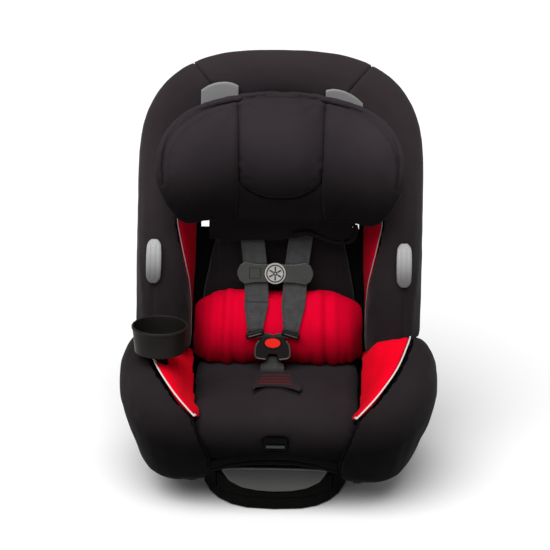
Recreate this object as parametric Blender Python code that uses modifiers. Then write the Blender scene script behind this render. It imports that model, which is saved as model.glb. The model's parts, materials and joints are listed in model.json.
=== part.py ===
"""A convertible child car seat: base, reclining seat shell, headrest, five-point harness, cup holder."""

from math import cos, pi, radians, sin

import bmesh
import bpy
import numpy as np
from mathutils import Matrix, Vector

# The back leans from a foot line just behind the seat; x across, t up the back, d out towards the child.
BACK_TILT = radians(14)
BACK_FOOT = np.array([0.0, 0.02, 0.15])
ACROSS = np.array([1.0, 0.0, 0.0])
UP = np.array([0.0, sin(BACK_TILT), cos(BACK_TILT)])
OUT = np.array([0.0, -cos(BACK_TILT), sin(BACK_TILT)])
GAP = 0.0006

# Torso surround: a padded band that goes up both sides and arches over the top.
ARCH_T = 0.285
BAND_OUTER = (0.2275, 0.205, 2.8)
BAND_INNER = (0.155, 0.1360, 2.3)
BAND_FOOT_T = (0.030, 0.055)
BAND_INNER_X = ((0.03, 0.142), (0.105, 0.142), (0.22, 0.155), (0.285, 0.155))
# How far the inner face slopes out to its foot: almost upright low down, spread wide behind the headrest.
FOOT_SPREAD = ((0.03, 0.1), (0.10, 0.2), (0.23, 1.6), (0.42, 1.2))
BAND_DEPTH = ((0.0, 0.100), (0.10, 0.097), (0.18, 0.086), (0.285, 0.058), (0.36, 0.042), (0.48, 0.030))
STRAIGHT_SHARE = 0.42
# Across the band: share of its width, share of its depth, depth added.
BAND_SECTION = (
    (-0.20, 0.0, 0.004), (-0.12, 0.42, 0.0), (0.03, 0.84, 0.0), (0.34, 1.0, 0.0), (0.72, 0.97, 0.0),
    (0.95, 0.66, 0.0), (1.0, 0.15, 0.004), (0.985, 0.0, -0.026),
)
EDGE_SHARE = 0.32
WING_END = 0.80
SEAM = 0.012

# Seat side: lines from the front seam to the back end, from the cushion out over the arm and under.
SIDE_LINES = (
    ((0.113, -0.232, 0.148), (0.125, -0.200, 0.147), (0.1285, -0.165, 0.146), (0.131, -0.110, 0.146),
     (0.134, -0.040, 0.149), (0.136, 0.030, 0.152)),
    ((0.117, -0.243, 0.154), (0.138, -0.213, 0.168), (0.155, -0.168, 0.186), (0.165, -0.110, 0.196),
     (0.172, -0.045, 0.194), (0.170, 0.030, 0.169)),
    ((0.121, -0.252, 0.155), (0.152, -0.226, 0.181), (0.182, -0.173, 0.203), (0.200, -0.110, 0.215),
     (0.209, -0.050, 0.213), (0.205, 0.030, 0.179)),
    ((0.117, -0.268, 0.134), (0.176, -0.248, 0.162), (0.221, -0.183, 0.186), (0.236, -0.112, 0.198),
     (0.236, -0.045, 0.196), (0.228, 0.035, 0.166)),
    ((0.103, -0.271, 0.100), (0.186, -0.252, 0.116), (0.234, -0.181, 0.140), (0.2475, -0.112, 0.154),
     (0.243, -0.040, 0.152), (0.232, 0.040, 0.132)),
    ((0.098, -0.259, 0.068), (0.172, -0.231, 0.060), (0.208, -0.171, 0.068), (0.219, -0.110, 0.073),
     (0.214, -0.030, 0.077), (0.206, 0.045, 0.082)),
    ((0.124, -0.228, 0.048), (0.144, -0.194, 0.036), (0.154, -0.160, 0.030), (0.160, -0.110, 0.030),
     (0.162, -0.030, 0.034), (0.162, 0.050, 0.048)),
)
SIDE_EDGE_SHARE = 2 / 6
PAD = 0.012
SHELL_GAP = 0.002
WALL = 0.0035

# Seat cushion
CUSHION_LINE = (
    (0.012, 0.1435), (-0.06, 0.1445), (-0.14, 0.1450), (-0.205, 0.1465), (-0.240, 0.1400),
    (-0.259, 0.1180), (-0.262, 0.1000), (-0.256, 0.0820),
)
CUSHION_HALF = (0.1285, 0.1290, 0.1265, 0.1230, 0.1140, 0.1060, 0.0990, 0.0930)
CUSHION_THICK = 0.018
ADJUSTER_Z = 0.1132

# Recline: the shell swings about a line above the seat on rockers that run on the base's rails.
RECLINE_Y = -0.02
RECLINE_Z = 0.47
ROCKER_X = 0.060
ROCKER_THICK = 0.012
ROCKER_R = (0.355, 0.412)
RAIL_R = (0.4126, 0.452)
BASE_HALF = (0.119, 0.2185)
BASE_Y = -0.0285
BASE_POWER = 2.9
BASE_HEIGHT = 0.046
BASE_WALL = 0.004
BOLT_R = 0.0045
BOLT_RADIUS_AT = 0.4035
BOLT_ANGLE = radians(-14)
PIVOT_Y = -0.203
PIVOT_Z = 0.060

# Lumbar pillow
PILLOW_HALF = 0.1345
PILLOW_TOP = 0.112

# Harness, a little to the left of the middle of the seat
HARNESS_X = -0.005
BUCKLE_X = -0.0078
CLIP_X = -0.006
WEBBING = 0.038
WEBBING_THICK = 0.0016
BUCKLE = np.array([BUCKLE_X, -0.0345, 0.182])
BUCKLE_LEAN = radians(17)
CLIP_T = 0.135
CLIP_D = 0.031
CLIP_HALF = (0.0605, 0.018)

# Headrest
HEAD_T = 0.305
HEAD_HALF = 0.1935
HEAD_RISE = 0.122
HEAD_DROP = 0.088
TRAY = (0.0330, 0.0365)

CUP = np.array([-0.179, -0.146, 0.2170])

MATERIALS = {
    "black_fabric": ((0.030, 0.024, 0.028), 0.9),
    "black_mesh": ((0.022, 0.019, 0.022), 0.9),
    "red_fabric": ((0.62, 0.010, 0.035), 0.85),
    "piping": ((0.72, 0.70, 0.68), 0.5),
    "webbing": ((0.070, 0.072, 0.076), 0.7),
    "black_plastic": ((0.012, 0.012, 0.012), 0.45),
    "grey_plastic": ((0.24, 0.24, 0.25), 0.4),
    "dark_grey_plastic": ((0.085, 0.085, 0.085), 0.45),
    "clip_plastic": ((0.11, 0.112, 0.105), 0.45),
    "emblem_plastic": ((0.42, 0.42, 0.41), 0.45),
    "button_red": ((0.80, 0.02, 0.005), 0.35),
    "steel": ((0.52, 0.53, 0.55), 0.3),
}


def frame(u, v, centre=(0.0, 0.0, 0.0)):
    """The matrix whose first axes are u and v, and whose third is at right angles to both."""
    u, v = Vector(u), Vector(v)
    made = Matrix((u, v, u.cross(v))).transposed().to_4x4()
    made.translation = Vector(centre)
    return made


BACK = frame(ACROSS, UP, BACK_FOOT)
SIDEWAYS = frame((0, 1, 0), (0, 0, 1))
FRONT = frame((1, 0, 0), (0, 0, 1))
PIVOT = frame((0, 1, 0), (0, 0, 1), (0.0, PIVOT_Y, PIVOT_Z))
LEAN = frame((1, 0, 0), (0, sin(BUCKLE_LEAN), cos(BUCKLE_LEAN)), BUCKLE)


def clear_scene():
    for obj in list(bpy.data.objects):
        bpy.data.objects.remove(obj, do_unlink=True)


def new_collection(name):
    collection = bpy.data.collections.new(name)
    bpy.context.scene.collection.children.link(collection)
    return collection


def material(name):
    found = bpy.data.materials.get(name)
    if found:
        return found
    colour, roughness = MATERIALS[name.split(":")[0]]
    made = bpy.data.materials.new(name)
    made.use_nodes = True
    shader = made.node_tree.nodes["Principled BSDF"]
    shader.inputs["Base Color"].default_value = (*colour, 1.0)
    shader.inputs["Roughness"].default_value = roughness
    return made


def finish(name, mesh, slot, origin):
    """Makes the mesh, in world points, an object whose origin is where stated and whose faces look outward."""
    mesh.transform(Matrix.Translation(-Vector(origin)))
    edit = bmesh.new()
    edit.from_mesh(mesh)
    bmesh.ops.remove_doubles(edit, verts=edit.verts, dist=0.000001)
    bmesh.ops.recalc_face_normals(edit, faces=edit.faces)
    bmesh.ops.triangulate(edit, faces=edit.faces)
    edit.to_mesh(mesh)
    edit.free()
    mesh.shade_smooth()
    mesh.set_sharp_from_angle(angle=radians(35))
    mesh.name = name
    obj = bpy.data.objects.new(name, mesh)
    obj.location = origin
    if slot:
        mesh.materials.append(material(f"{slot}:{name}"))
        SEAT.objects.link(obj)
    else:
        obj.hide_render = True
        obj.display_type = "WIRE"
        CUTTERS.objects.link(obj)
    return obj


def add(name, verts, faces, slot, origin=(0.0, 0.0, 0.0)):
    mesh = bpy.data.meshes.new(name)
    mesh.from_pydata(np.asarray(verts, float).reshape(-1, 3).tolist(), [], faces)
    return finish(name, mesh, slot, origin)


def primitive(name, build, matrix, slot, origin=(0.0, 0.0, 0.0)):
    """An object from one of bmesh's primitives."""
    edit = bmesh.new()
    build(edit, matrix)
    mesh = bpy.data.meshes.new(name)
    edit.to_mesh(mesh)
    edit.free()
    return finish(name, mesh, slot, origin)


def slab(name, outer, inner, slot, origin=(0.0, 0.0, 0.0)):
    """The solid between two grids of points."""
    rows, cols = outer.shape[:2]
    count = rows * cols
    faces = []
    for i in range(rows - 1):
        for j in range(cols - 1):
            a = i * cols + j
            quad = (a, a + 1, a + cols + 1, a + cols)
            faces.append(quad)
            faces.append(tuple(count + k for k in reversed(quad)))
    rim = [j for j in range(cols)]
    rim += [i * cols + cols - 1 for i in range(1, rows)]
    rim += [(rows - 1) * cols + j for j in range(cols - 2, -1, -1)]
    rim += [i * cols for i in range(rows - 2, 0, -1)]
    for a, b in zip(rim, rim[1:] + rim[:1]):
        faces.append((b, a, a + count, b + count))
    return add(name, np.concatenate([outer.reshape(-1, 3), inner.reshape(-1, 3)]), faces, slot, origin)


def loft(name, rings, slot, origin=(0.0, 0.0, 0.0)):
    """The solid through closed rings of points, capped at both ends."""
    rings = np.asarray(rings, float)
    count, size = rings.shape[:2]
    faces = [tuple(range(size)), tuple((count - 1) * size + k for k in reversed(range(size)))]
    for i in range(count - 1):
        for k in range(size):
            a = i * size + k
            b = i * size + (k + 1) % size
            faces.append((a, a + size, b + size, b))
    return add(name, rings, faces, slot, origin)


def curve_mesh(name, points, closed, **settings):
    """The mesh of a curve of straight pieces with the settings given."""
    curve = bpy.data.curves.new(name, "CURVE")
    for key, value in settings.items():
        setattr(curve, key, value)
    line = curve.splines.new("POLY")
    line.points.add(len(points) - 1)
    for point, place in zip(line.points, points):
        point.co = (*place, 1.0)
    line.use_cyclic_u = closed
    guide = bpy.data.objects.new(name + "_line", curve)
    bpy.context.scene.collection.objects.link(guide)
    graph = bpy.context.evaluated_depsgraph_get()
    mesh = bpy.data.meshes.new_from_object(guide.evaluated_get(graph))
    bpy.data.objects.remove(guide)
    return mesh


def prism(name, outline, lo, hi, place, slot, origin=(0.0, 0.0, 0.0)):
    """A flat outline of (u, v) points, extruded from w = lo to w = hi in the frame it is placed by."""
    points = [(u, v, 0.0) for u, v in outline]
    mesh = curve_mesh(name, points, True, dimensions="2D", fill_mode="BOTH", extrude=(hi - lo) / 2)
    mesh.transform(place @ Matrix.Translation((0.0, 0.0, (lo + hi) / 2)))
    return finish(name, mesh, slot, origin)


def box(name, lo, hi, slot, origin=(0.0, 0.0, 0.0), place=Matrix()):
    lo, hi = Vector(lo), Vector(hi)
    size = Matrix.Diagonal((*(hi - lo), 1.0))
    matrix = place @ Matrix.Translation((lo + hi) / 2) @ size
    return primitive(name, lambda edit, m: bmesh.ops.create_cube(edit, size=1.0, matrix=m), matrix, slot, origin)


def rod(name, radius, lo, hi, place, slot, origin=(0.0, 0.0, 0.0), segments=16):
    """A cylinder along the third axis of the frame that places it."""
    matrix = place @ Matrix.Translation((0.0, 0.0, (lo + hi) / 2))

    def build(edit, m):
        bmesh.ops.create_cone(edit, cap_ends=True, segments=segments, radius1=radius, radius2=radius,
                              depth=hi - lo, matrix=m)

    return primitive(name, build, matrix, slot, origin)


def on_back(x, t, d):
    """World points from back coordinates, numbers or arrays alike."""
    x, t, d = np.broadcast_arrays(np.asarray(x, float), t, d)
    return BACK_FOOT + x[..., None] * ACROSS + t[..., None] * UP + d[..., None] * OUT


def back_box(name, x, t, d, slot, origin=(0.0, 0.0, 0.0)):
    return box(name, (x[0], t[0], d[0]), (x[1], t[1], d[1]), slot, origin, BACK)


def disc(count, radius, squash=1.0):
    return [(radius * cos(2 * pi * k / count), squash * radius * sin(2 * pi * k / count)) for k in range(count)]


def rounded(half_u, half_v, radius, steps=4):
    """A rectangle's outline with round corners."""
    points = []
    for quarter in range(4):
        centre_u = (half_u - radius) * (1 if quarter in (0, 3) else -1)
        centre_v = (half_v - radius) * (1 if quarter in (0, 1) else -1)
        for k in range(steps + 1):
            angle = pi / 2 * (quarter + k / steps)
            points.append((centre_u + radius * cos(angle), centre_v + radius * sin(angle)))
    return points


def modify(obj, operation, other):
    boolean = obj.modifiers.new(operation.title(), "BOOLEAN")
    boolean.operation = operation
    boolean.solver = "EXACT"
    boolean.object = other


def spline(points, at):
    """Positions along the even-knotted Catmull-Rom curve through the points, at fractions 0 to 1."""
    p = np.asarray(points, float)
    p = np.concatenate([2 * p[:1] - p[1:2], p, 2 * p[-1:] - p[-2:-1]])
    u = np.asarray(at, float) * (len(p) - 3)
    i = np.clip(u.astype(int), 0, len(p) - 4)
    f = (u - i).reshape((-1,) + (1,) * (p.ndim - 1))
    a, b, c, d = p[i], p[i + 1], p[i + 2], p[i + 3]
    return 0.5 * (2 * b + (c - a) * f + (2 * a - 5 * b + 4 * c - d) * f**2 + (3 * b - a - 3 * c + d) * f**3)


def superellipse(half, height, power, angle):
    c, s = np.cos(angle), np.sin(angle)
    return half * np.abs(c) ** (2 / power) * np.sign(c), height * np.abs(s) ** (2 / power)


def band_edges(s):
    """(x, t) of the band's inner and outer edges at s: 0 at its foot, 1 at the top in the middle."""
    s = np.asarray(s, float)
    rise = np.clip(s / STRAIGHT_SHARE, 0, 1)
    angle = np.clip((s - STRAIGHT_SHARE) / (1 - STRAIGHT_SHARE), 0, 1) * pi / 2
    inner_x, inner_t = superellipse(*BAND_INNER, angle)
    outer_x, outer_t = superellipse(*BAND_OUTER, angle)
    foot_inner, foot_outer = BAND_FOOT_T
    low_inner_t = foot_inner + (ARCH_T - foot_inner) * rise
    low_outer_t = foot_outer + (ARCH_T - foot_outer) * rise
    low = s < STRAIGHT_SHARE
    inner_x = np.where(low, np.interp(low_inner_t, *zip(*BAND_INNER_X)), inner_x)
    inner_t = np.where(low, low_inner_t, ARCH_T + inner_t)
    outer_t = np.where(low, low_outer_t, ARCH_T + outer_t)
    return (inner_x, inner_t), (outer_x, outer_t)


def band_surface(s, w):
    """The band's face: w runs across it from its inner foot over the front to the rear hem."""
    (inner_x, inner_t), (outer_x, outer_t) = band_edges(s)
    w = np.broadcast_to(w, (len(s), np.shape(w)[-1]))
    share, lift, extra = np.moveaxis(spline(BAND_SECTION, w.ravel()).reshape(*w.shape, 3), 2, 0)
    spread = np.interp(inner_t, *zip(*FOOT_SPREAD))[:, None]
    share = np.where(share < 0, share * spread, share)
    x = inner_x[:, None] + (outer_x - inner_x)[:, None] * share
    t = inner_t[:, None] + (outer_t - inner_t)[:, None] * share
    depth = np.interp(0.5 * (inner_t + outer_t), *zip(*BAND_DEPTH))[:, None]
    return on_back(x, t, depth * lift + extra)


def side_surface(s, w):
    """The seat side's face: s from the front seam to the back end, w from the cushion over the arm."""
    lines = spline(np.asarray(SIDE_LINES), w)
    return spline(np.swapaxes(lines, 0, 1), s)


def mirror(grid):
    return grid * np.array([-1.0, 1.0, 1.0])


def pair(name, outer, inner, slot):
    """A slab on the right and its mirror image on the left."""
    slab(f"{name}_right", outer, inner, slot)
    slab(f"{name}_left", mirror(outer), mirror(inner), slot)


def inset(surface, s, w, depth):
    """Points of a surface at s and w, moved under it along its normals by a depth or a grid of depths."""
    step = 0.012
    along = surface(np.clip(s + step, 0, 1), w) - surface(np.clip(s - step, 0, 1), w)
    across = surface(s, np.clip(w + step, 0, 1)) - surface(s, np.clip(w - step, 0, 1))
    out = np.cross(across, along)
    out /= np.linalg.norm(out, axis=2, keepdims=True)
    return surface(s, w) - out * np.broadcast_to(depth, out.shape[:2])[..., None]


def seams(edge, count_low, count_high, low=0.0):
    """Where the lines of the two pads beside a seam run, across the surface."""
    return np.linspace(low, edge - SEAM, count_low), np.linspace(edge + SEAM, 1.0, count_high)


def pads(name_low, name_high, surface, s, low, high, ends):
    """Two pads that share a seam and thin out towards it, both on the right and mirrored on the left."""
    for name, w, slot in ((name_low, low, "red_fabric"), (name_high, high, "black_fabric")):
        thin = np.ones(w.shape[-1])
        thin[-1 if w is low else 0] = 0.42
        depth = PAD * ends[:, None] * thin[None, :]
        pair(name, inset(surface, s, w, 0.0), inset(surface, s, w, depth), slot)


SIDE_S = np.linspace(0.0, 1.0, 16)
SIDE_W = seams(SIDE_EDGE_SHARE, 4, 9)
SIDE_ENDS = np.interp(SIDE_S, (0.0, 0.12, 0.25), (0.45, 0.85, 1.0))
BAND_S = np.linspace(0.0, WING_END, 22)
TOP_S = np.linspace(WING_END + 0.0015, 1.0, 8)


def band_lines(s):
    """Where the insert's and the wing's lines run across the band: low down their seam swings back to the foot."""
    edge = np.interp(s, (0.0, 0.07, 0.12, 0.20, 0.30), (0.045, 0.09, 0.18, 0.27, EDGE_SHARE))[:, None]
    low = (edge - SEAM) * np.linspace(0.0, 1.0, 6)
    return low, edge + SEAM + (1 - edge - SEAM) * np.linspace(0.0, 1.0, 8)


def seat_sides():
    pads("thigh_insert", "thigh_bolster", side_surface, SIDE_S, *SIDE_W, SIDE_ENDS)
    edge = SIDE_EDGE_SHARE
    cord = inset(side_surface, SIDE_S, np.linspace(edge - 0.01, edge + 0.01, 3), -0.0008)
    for sign, side in ((1, "right"), (-1, "left")):
        piping(f"piping_{side}", cord[:, 1] * np.array([sign, 1, 1]))
    for name in ("thigh_insert_left", "thigh_bolster_left", "piping_left"):
        modify(bpy.data.objects[name], "DIFFERENCE", hole("cup_hole_" + name, 0.0125))


def hole(name, radius):
    return rod(name, radius, -0.035, 0.02, Matrix.Translation(CUP), None, segments=20)


def piping(name, path, radius=0.0013):
    """A round cord along a path."""
    mesh = curve_mesh(name, path, False, dimensions="3D", bevel_depth=radius, bevel_resolution=2,
                      use_fill_caps=True)
    return finish(name, mesh, "piping", (0.0, 0.0, 0.0))


def torso_band():
    pads("torso_insert", "torso_wing", band_surface, BAND_S, *band_lines(BAND_S), np.ones(len(BAND_S)))
    low, high = band_lines(TOP_S)
    whole = np.concatenate([low[:, 3:], high], axis=1)
    outer, inner = (inset(band_surface, TOP_S, whole, depth) for depth in (0.0, PAD))
    outer[-1, :, 0] = 0.0
    inner[-1, :, 0] = 0.0
    outer, inner = (np.concatenate([g, mirror(g)[-2::-1]]) for g in (outer, inner))
    slab("top_band", outer, inner, "black_fabric")


def shell_parts():
    """The pieces that join into the moulded shell."""
    parts = []
    depth = (PAD * SIDE_ENDS + SHELL_GAP)[:, None]
    top, under = (inset(side_surface, SIDE_S, np.concatenate(SIDE_W), depth + extra) for extra in (0.0, WALL))
    foot_top, foot_under = top[:, :1].copy(), under[:, :1].copy()
    foot_top[..., 2] = 0.1225
    foot_under[..., 2] = 0.1225
    foot_under[..., 0] = np.maximum(foot_under[..., 0], foot_top[..., 0] + WALL * 0.8)
    top = np.concatenate([foot_top, top], axis=1)
    under = np.concatenate([foot_under, under], axis=1)
    parts.append(slab("shell_side_right", top, under, None))
    parts.append(slab("shell_side_left", mirror(top), mirror(under), None))
    s = np.concatenate([BAND_S, TOP_S])
    w = np.concatenate(band_lines(s), axis=1)
    top, under = (inset(band_surface, s, w, PAD + SHELL_GAP + extra) for extra in (0.0, WALL))
    for grid in (top, under):
        grid[-1, :, 0] = 0.0
    foot_top, foot_under = (g[:, :1] - OUT * 0.026 for g in (top, under))
    hem_top, hem_under = (g[:, -1:] - OUT * 0.022 for g in (top, under))
    top = np.concatenate([foot_top, top, hem_top], axis=1)
    under = np.concatenate([foot_under, under, hem_under], axis=1)
    top, under = (np.concatenate([g, mirror(g)[-2::-1]]) for g in (top, under))
    parts.append(slab("shell_band", top, under, None))
    return parts


def shell():
    panel_d = -0.0225
    angles = np.linspace(0, pi, 13)
    arch = [(0.166 * cos(a), 0.30 + 0.150 * sin(a)) for a in angles]
    outline = [(-0.150, -0.034), (0.150, -0.034), (0.153, 0.20)] + arch[:-1] + [(-0.153, 0.20)]
    body = prism("shell", outline, panel_d, panel_d + WALL, BACK, "black_plastic")
    line = spline([(0.040, 0.1225), (-0.10, 0.1225), (-0.205, 0.1235), (-0.229, 0.116), (-0.2365, 0.100),
                   (-0.2345, 0.086)], np.linspace(0, 1, 12))
    half = np.interp(line[:, 0], (-0.24, -0.20, -0.15, 0.04), (0.100, 0.132, 0.146, 0.150))
    half[-2:] = 0.096
    lean = np.gradient(line, axis=0)
    lean /= np.linalg.norm(lean, axis=1, keepdims=True)
    across = np.linspace(-1, 1, 3)
    top = np.array([[(h * a, y, z) for a in across] for (y, z), h in zip(line, half)])
    down = np.array([[(0, -dz, dy) for _ in across] for dy, dz in lean])
    pan = slab("shell_pan", top, top + down * WALL, None)
    for part in [pan] + shell_parts():
        modify(body, "UNION", part)
    for sign, side in ((1, "right"), (-1, "left")):
        lug = box(f"handle_lug_{side}", (sign * 0.063 - 0.003, PIVOT_Y - 0.007, PIVOT_Z - 0.009),
                  (sign * 0.063 + 0.003, PIVOT_Y + 0.007, 0.1215), None)
        bore = rod(f"lug_bore_{side}", 0.0034, sign * 0.063 - 0.01, sign * 0.063 + 0.01, PIVOT, None)
        modify(body, "UNION", lug)
        modify(body, "DIFFERENCE", bore)
    slots = [back_box("headrest_slot", (-0.040, 0.040), (0.205, 0.415), (-0.04, 0.0), None)]
    for sign, side in ((1, "right"), (-1, "left")):
        slots.append(back_box(f"side_slot_{side}", sorted((sign * 0.107, sign * 0.128)), (0.205, 0.255),
                              (-0.04, -0.01), None))
    slots.append(box("crotch_slot", (BUCKLE_X - 0.024, -0.058, 0.10), (BUCKLE_X + 0.024, -0.046, 0.14), None))
    slots.append(box("adjuster_window", (-0.0175, -0.26, ADJUSTER_Z - 0.0075), (0.0195, -0.21, ADJUSTER_Z + 0.0075),
                     None))
    for slot in slots:
        modify(body, "DIFFERENCE", slot)


def cushion():
    at = np.linspace(0, 1, 15)
    line = spline(CUSHION_LINE, at)
    half = spline([[h] for h in CUSHION_HALF], at)[:, 0]
    lean = np.gradient(line, axis=0)
    lean /= np.linalg.norm(lean, axis=1, keepdims=True)
    across = np.array([-1, -0.86, -0.5, 0, 0.5, 0.86, 1])
    sag = 0.0035 * np.abs(across) ** 3
    outer, inner = [], []
    for (y, z), h, (dy, dz) in zip(line, half, lean):
        down = np.array([0.0, -dz, dy])
        row = np.array([(h * a, y, z) for a in across]) + sag[:, None] * down
        base = np.array([(h * a, y, z) for a in across]) + CUSHION_THICK * down
        outer.append(row)
        inner.append(base)
    pad = slab("seat_cushion", np.array(outer), np.array(inner), "black_fabric")
    modify(pad, "DIFFERENCE", box("crotch_hole", (BUCKLE_X - 0.0215, -0.0535, 0.10),
                                  (BUCKLE_X + 0.0215, -0.0465, 0.16), None))
    modify(pad, "DIFFERENCE", box("adjuster_hole", (-0.0175, -0.30, ADJUSTER_Z - 0.0075),
                                  (0.0195, -0.22, ADJUSTER_Z + 0.0075), None))


def back_pad():
    t = np.array([0.002, 0.05, 0.10, 0.16, 0.205, 0.25, 0.32, 0.355, 0.380])
    half = np.array([0.128, 0.1265, 0.122, 0.110, 0.098, 0.096, 0.096, 0.086, 0.072])
    share = np.array([-1, -0.9, -0.45, 0, 0.45, 0.9, 1])
    fall = np.array([0.006, 0.001, 0, 0, 0, 0.001, 0.006])
    x = half[:, None] * share
    outer = on_back(x, t[:, None], -fall[None, :])
    inner = on_back(x, t[:, None], -0.0175)
    pad = slab("back_pad", outer, inner, "black_mesh")
    modify(pad, "DIFFERENCE", back_box("pad_slot", (-0.040, 0.040), (0.207, 0.45), (-0.04, 0.02), None))


PILLOW_ROWS = (
    (0.0, 0.042), (0.06, 0.047), (0.16, 0.050), (0.32, 0.048), (0.50, 0.0425), (0.68, 0.036), (0.84, 0.0285),
    (0.95, 0.0195), (1.0, 0.0060),
)


def pillow():
    """The lumbar pillow: a wedge that stands on the cushion, thick at its foot, with round upper corners."""
    u = np.linspace(-1, 1, 15)
    v, full = np.array(PILLOW_ROWS).T
    top = PILLOW_TOP - 0.030 * np.abs(u) ** 4
    x = PILLOW_HALF * u[None, :] * np.ones((len(v), 1))
    t = -0.001 + (top + 0.001)[None, :] * v[:, None]
    ease = np.clip(1 - np.abs(u) ** 5, 0, 1) ** 0.5
    depth = 0.004 + (full - 0.004)[:, None] * ease[None, :]
    fall = 0.27 * depth * np.clip(1 - 2 * v, 0, 1)[:, None] ** 2
    slab("lumbar_pillow", on_back(x, t - fall, 0.0008 + depth), on_back(x, t, 0.0008), "red_fabric")


def belt_guides():
    """Grey hooks on the band; each is a plate on a post along its outer edge, open to the inside."""
    steps = np.linspace(-1, 1, 7)
    for sign, side in ((1, "right"), (-1, "left")):
        rings = []
        for k in steps:
            t = 0.156 + 0.034 * k
            ground = float(np.interp(t, *zip(*BAND_DEPTH)))
            top = 0.0125 - 0.0045 * abs(k) ** 3
            wide = 0.0118 - 0.0022 * abs(k) ** 3
            section = ((wide, -0.0035), (wide, top), (wide - 0.003, top + 0.0012), (-wide + 0.003, top + 0.0012),
                       (-wide, top), (-wide, top - 0.0035), (wide - 0.004, top - 0.0035), (wide - 0.004, 0.0012))
            rings.append([on_back(sign * (0.196 + a), t, ground + b) for a, b in section])
        loft(f"belt_guide_side_{side}", rings, "grey_plastic")
        rings = []
        for k in steps:
            bend = 0.006 * k * k
            wide = 0.0155 - 0.0030 * abs(k) ** 3
            t0 = 0.4225 if side == "left" else 0.4175
            section = ((wide - 0.001, 0.0375), (wide, 0.045), (wide - 0.003, 0.0460), (-wide + 0.003, 0.0464),
                       (-wide, 0.0456), (-wide, 0.0428), (wide - 0.0045, 0.0422), (wide - 0.0045, 0.0375))
            rings.append([on_back(sign * (0.0985 + 0.0295 * k), t0 - bend - 0.004 * k + a, b) for a, b in section])
        loft(f"belt_guide_top_{side}", rings, "grey_plastic")


def ribbon(name, path, faces_out, slot, wide=WEBBING, thick=WEBBING_THICK, origin=(0.0, 0.0, 0.0)):
    """Flat webbing along a path; faces_out is the direction its front looks."""
    path = np.asarray(path, float)
    along = np.gradient(path, axis=0)
    along /= np.linalg.norm(along, axis=1, keepdims=True)
    facing = np.broadcast_to(np.asarray(faces_out, float), path.shape)
    side = np.cross(along, facing)
    side /= np.linalg.norm(side, axis=1, keepdims=True)
    face = np.cross(side, along)
    half = np.broadcast_to(np.asarray(wide) / 2, (len(path),))[:, None]
    a, b = path - side * half, path + side * half
    back_off = face * thick
    loft(name, np.stack([a, b, b - back_off, a - back_off], axis=1), slot, origin)


def strap_point(sign, t):
    """(x, t, d) of a shoulder strap's front face at height t; sign is -1 on the left."""
    half = np.interp(t, (0.048, 0.06, 0.10, 0.145, 0.18, 0.215), (0.0285, 0.0290, 0.0300, 0.0330, 0.0375, 0.0425))
    middle = np.interp(t, (0.048, 0.10), (BUCKLE_X, HARNESS_X))
    depth = np.interp(t, (0.048, 0.060, 0.080, 0.100, 0.112, 0.118, 0.152, 0.175, 0.195, 0.222),
                      (0.0592, 0.0560, 0.0490, 0.0385, 0.0325, CLIP_D, CLIP_D, 0.0225, 0.0165, 0.0125))
    return middle + sign * half, t, depth


def harness():
    low, high = CLIP_T - CLIP_HALF[1], CLIP_T + CLIP_HALF[1]
    spans = {"upper": (high + 0.0006, 0.222), "middle": (low + 0.0004, high - 0.0004), "lower": (0.0495, low - 0.0006)}
    for sign, side in ((1, "right"), (-1, "left")):
        for name, (start, end) in spans.items():
            heights = np.linspace(start, end, 3 if name == "middle" else 6)
            path = [on_back(*strap_point(sign, t)) for t in heights]
            wide = np.interp(heights, (0.05, 0.085), (0.022, WEBBING))
            ribbon(f"shoulder_strap_{side}_{name}", path, OUT, "webbing", wide)


def at(place, u, v, w):
    """The world point at (u, v, w) in a frame."""
    return np.array(place @ Vector((u, v, w)))


def buckle():
    outline = [(0.0085, -0.019), (0.0085, -0.012), (0.005, -0.0085), (-0.005, -0.0085), (-0.0085, -0.012),
               (-0.0085, -0.019), (-0.025, -0.017), (-0.0285, -0.011), (-0.0255, 0.004), (-0.021, 0.013),
               (-0.012, 0.0185), (0.012, 0.0185), (0.021, 0.013), (0.0255, 0.004), (0.0285, -0.011),
               (0.025, -0.017)]
    body = prism("buckle_housing", outline, -0.009, 0.011, LEAN, "black_plastic")
    pocket = prism("button_pocket", [(u, 0.0085 + v) for u, v in disc(20, 0.0132, 0.62)], 0.004, 0.02,
                   LEAN, None)
    mouth = prism("buckle_mouth", ((-0.0192, -0.003), (0.0192, -0.003), (0.0192, 0.03), (-0.0192, 0.03)),
                  -0.0022, 0.0022, LEAN, None)
    modify(body, "DIFFERENCE", pocket)
    modify(body, "DIFFERENCE", mouth)
    prism("buckle_button", [(u, 0.0085 + v) for u, v in disc(20, 0.0125, 0.60)], 0.0082, 0.0128, LEAN,
          "button_red", at(LEAN, 0, 0.0085, 0.0082))
    for sign, side in ((1, "right"), (-1, "left")):
        plate = [(0.0005, -0.0015), (0.0125, -0.0015), (0.0125, 0.011), (0.0185, 0.0165), (0.0405, 0.0165),
                 (0.0425, 0.020), (0.0405, 0.0285), (0.0175, 0.0285), (0.0140, 0.0245), (0.0005, 0.0215)]
        tongue = prism(f"tongue_{side}", [(sign * u, v) for u, v in plate], -0.0013, 0.0013, LEAN,
                       "steel", at(LEAN, sign * 0.006, 0.0, 0.0))
        gap = prism(f"tongue_gap_{side}", [(sign * u, v) for u, v in ((0.0185, 0.020), (0.0385, 0.020),
                                                                       (0.0385, 0.0255), (0.0185, 0.0255))],
                    -0.01, 0.01, LEAN, None)
        modify(tongue, "DIFFERENCE", gap)
    path = [(BUCKLE_X, -0.050, 0.1225), (BUCKLE_X, -0.050, 0.142), (BUCKLE_X, -0.0495, 0.150),
            at(LEAN, 0, -0.0255, 0.0035), at(LEAN, 0, -0.0200, 0.0025), at(LEAN, 0, -0.0130, 0.0010)]
    ribbon("crotch_strap", path, (0.0, -1.0, 0.1), "webbing", np.array([0.038, 0.038, 0.038, 0.036, 0.0150, 0.0150]))


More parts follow.
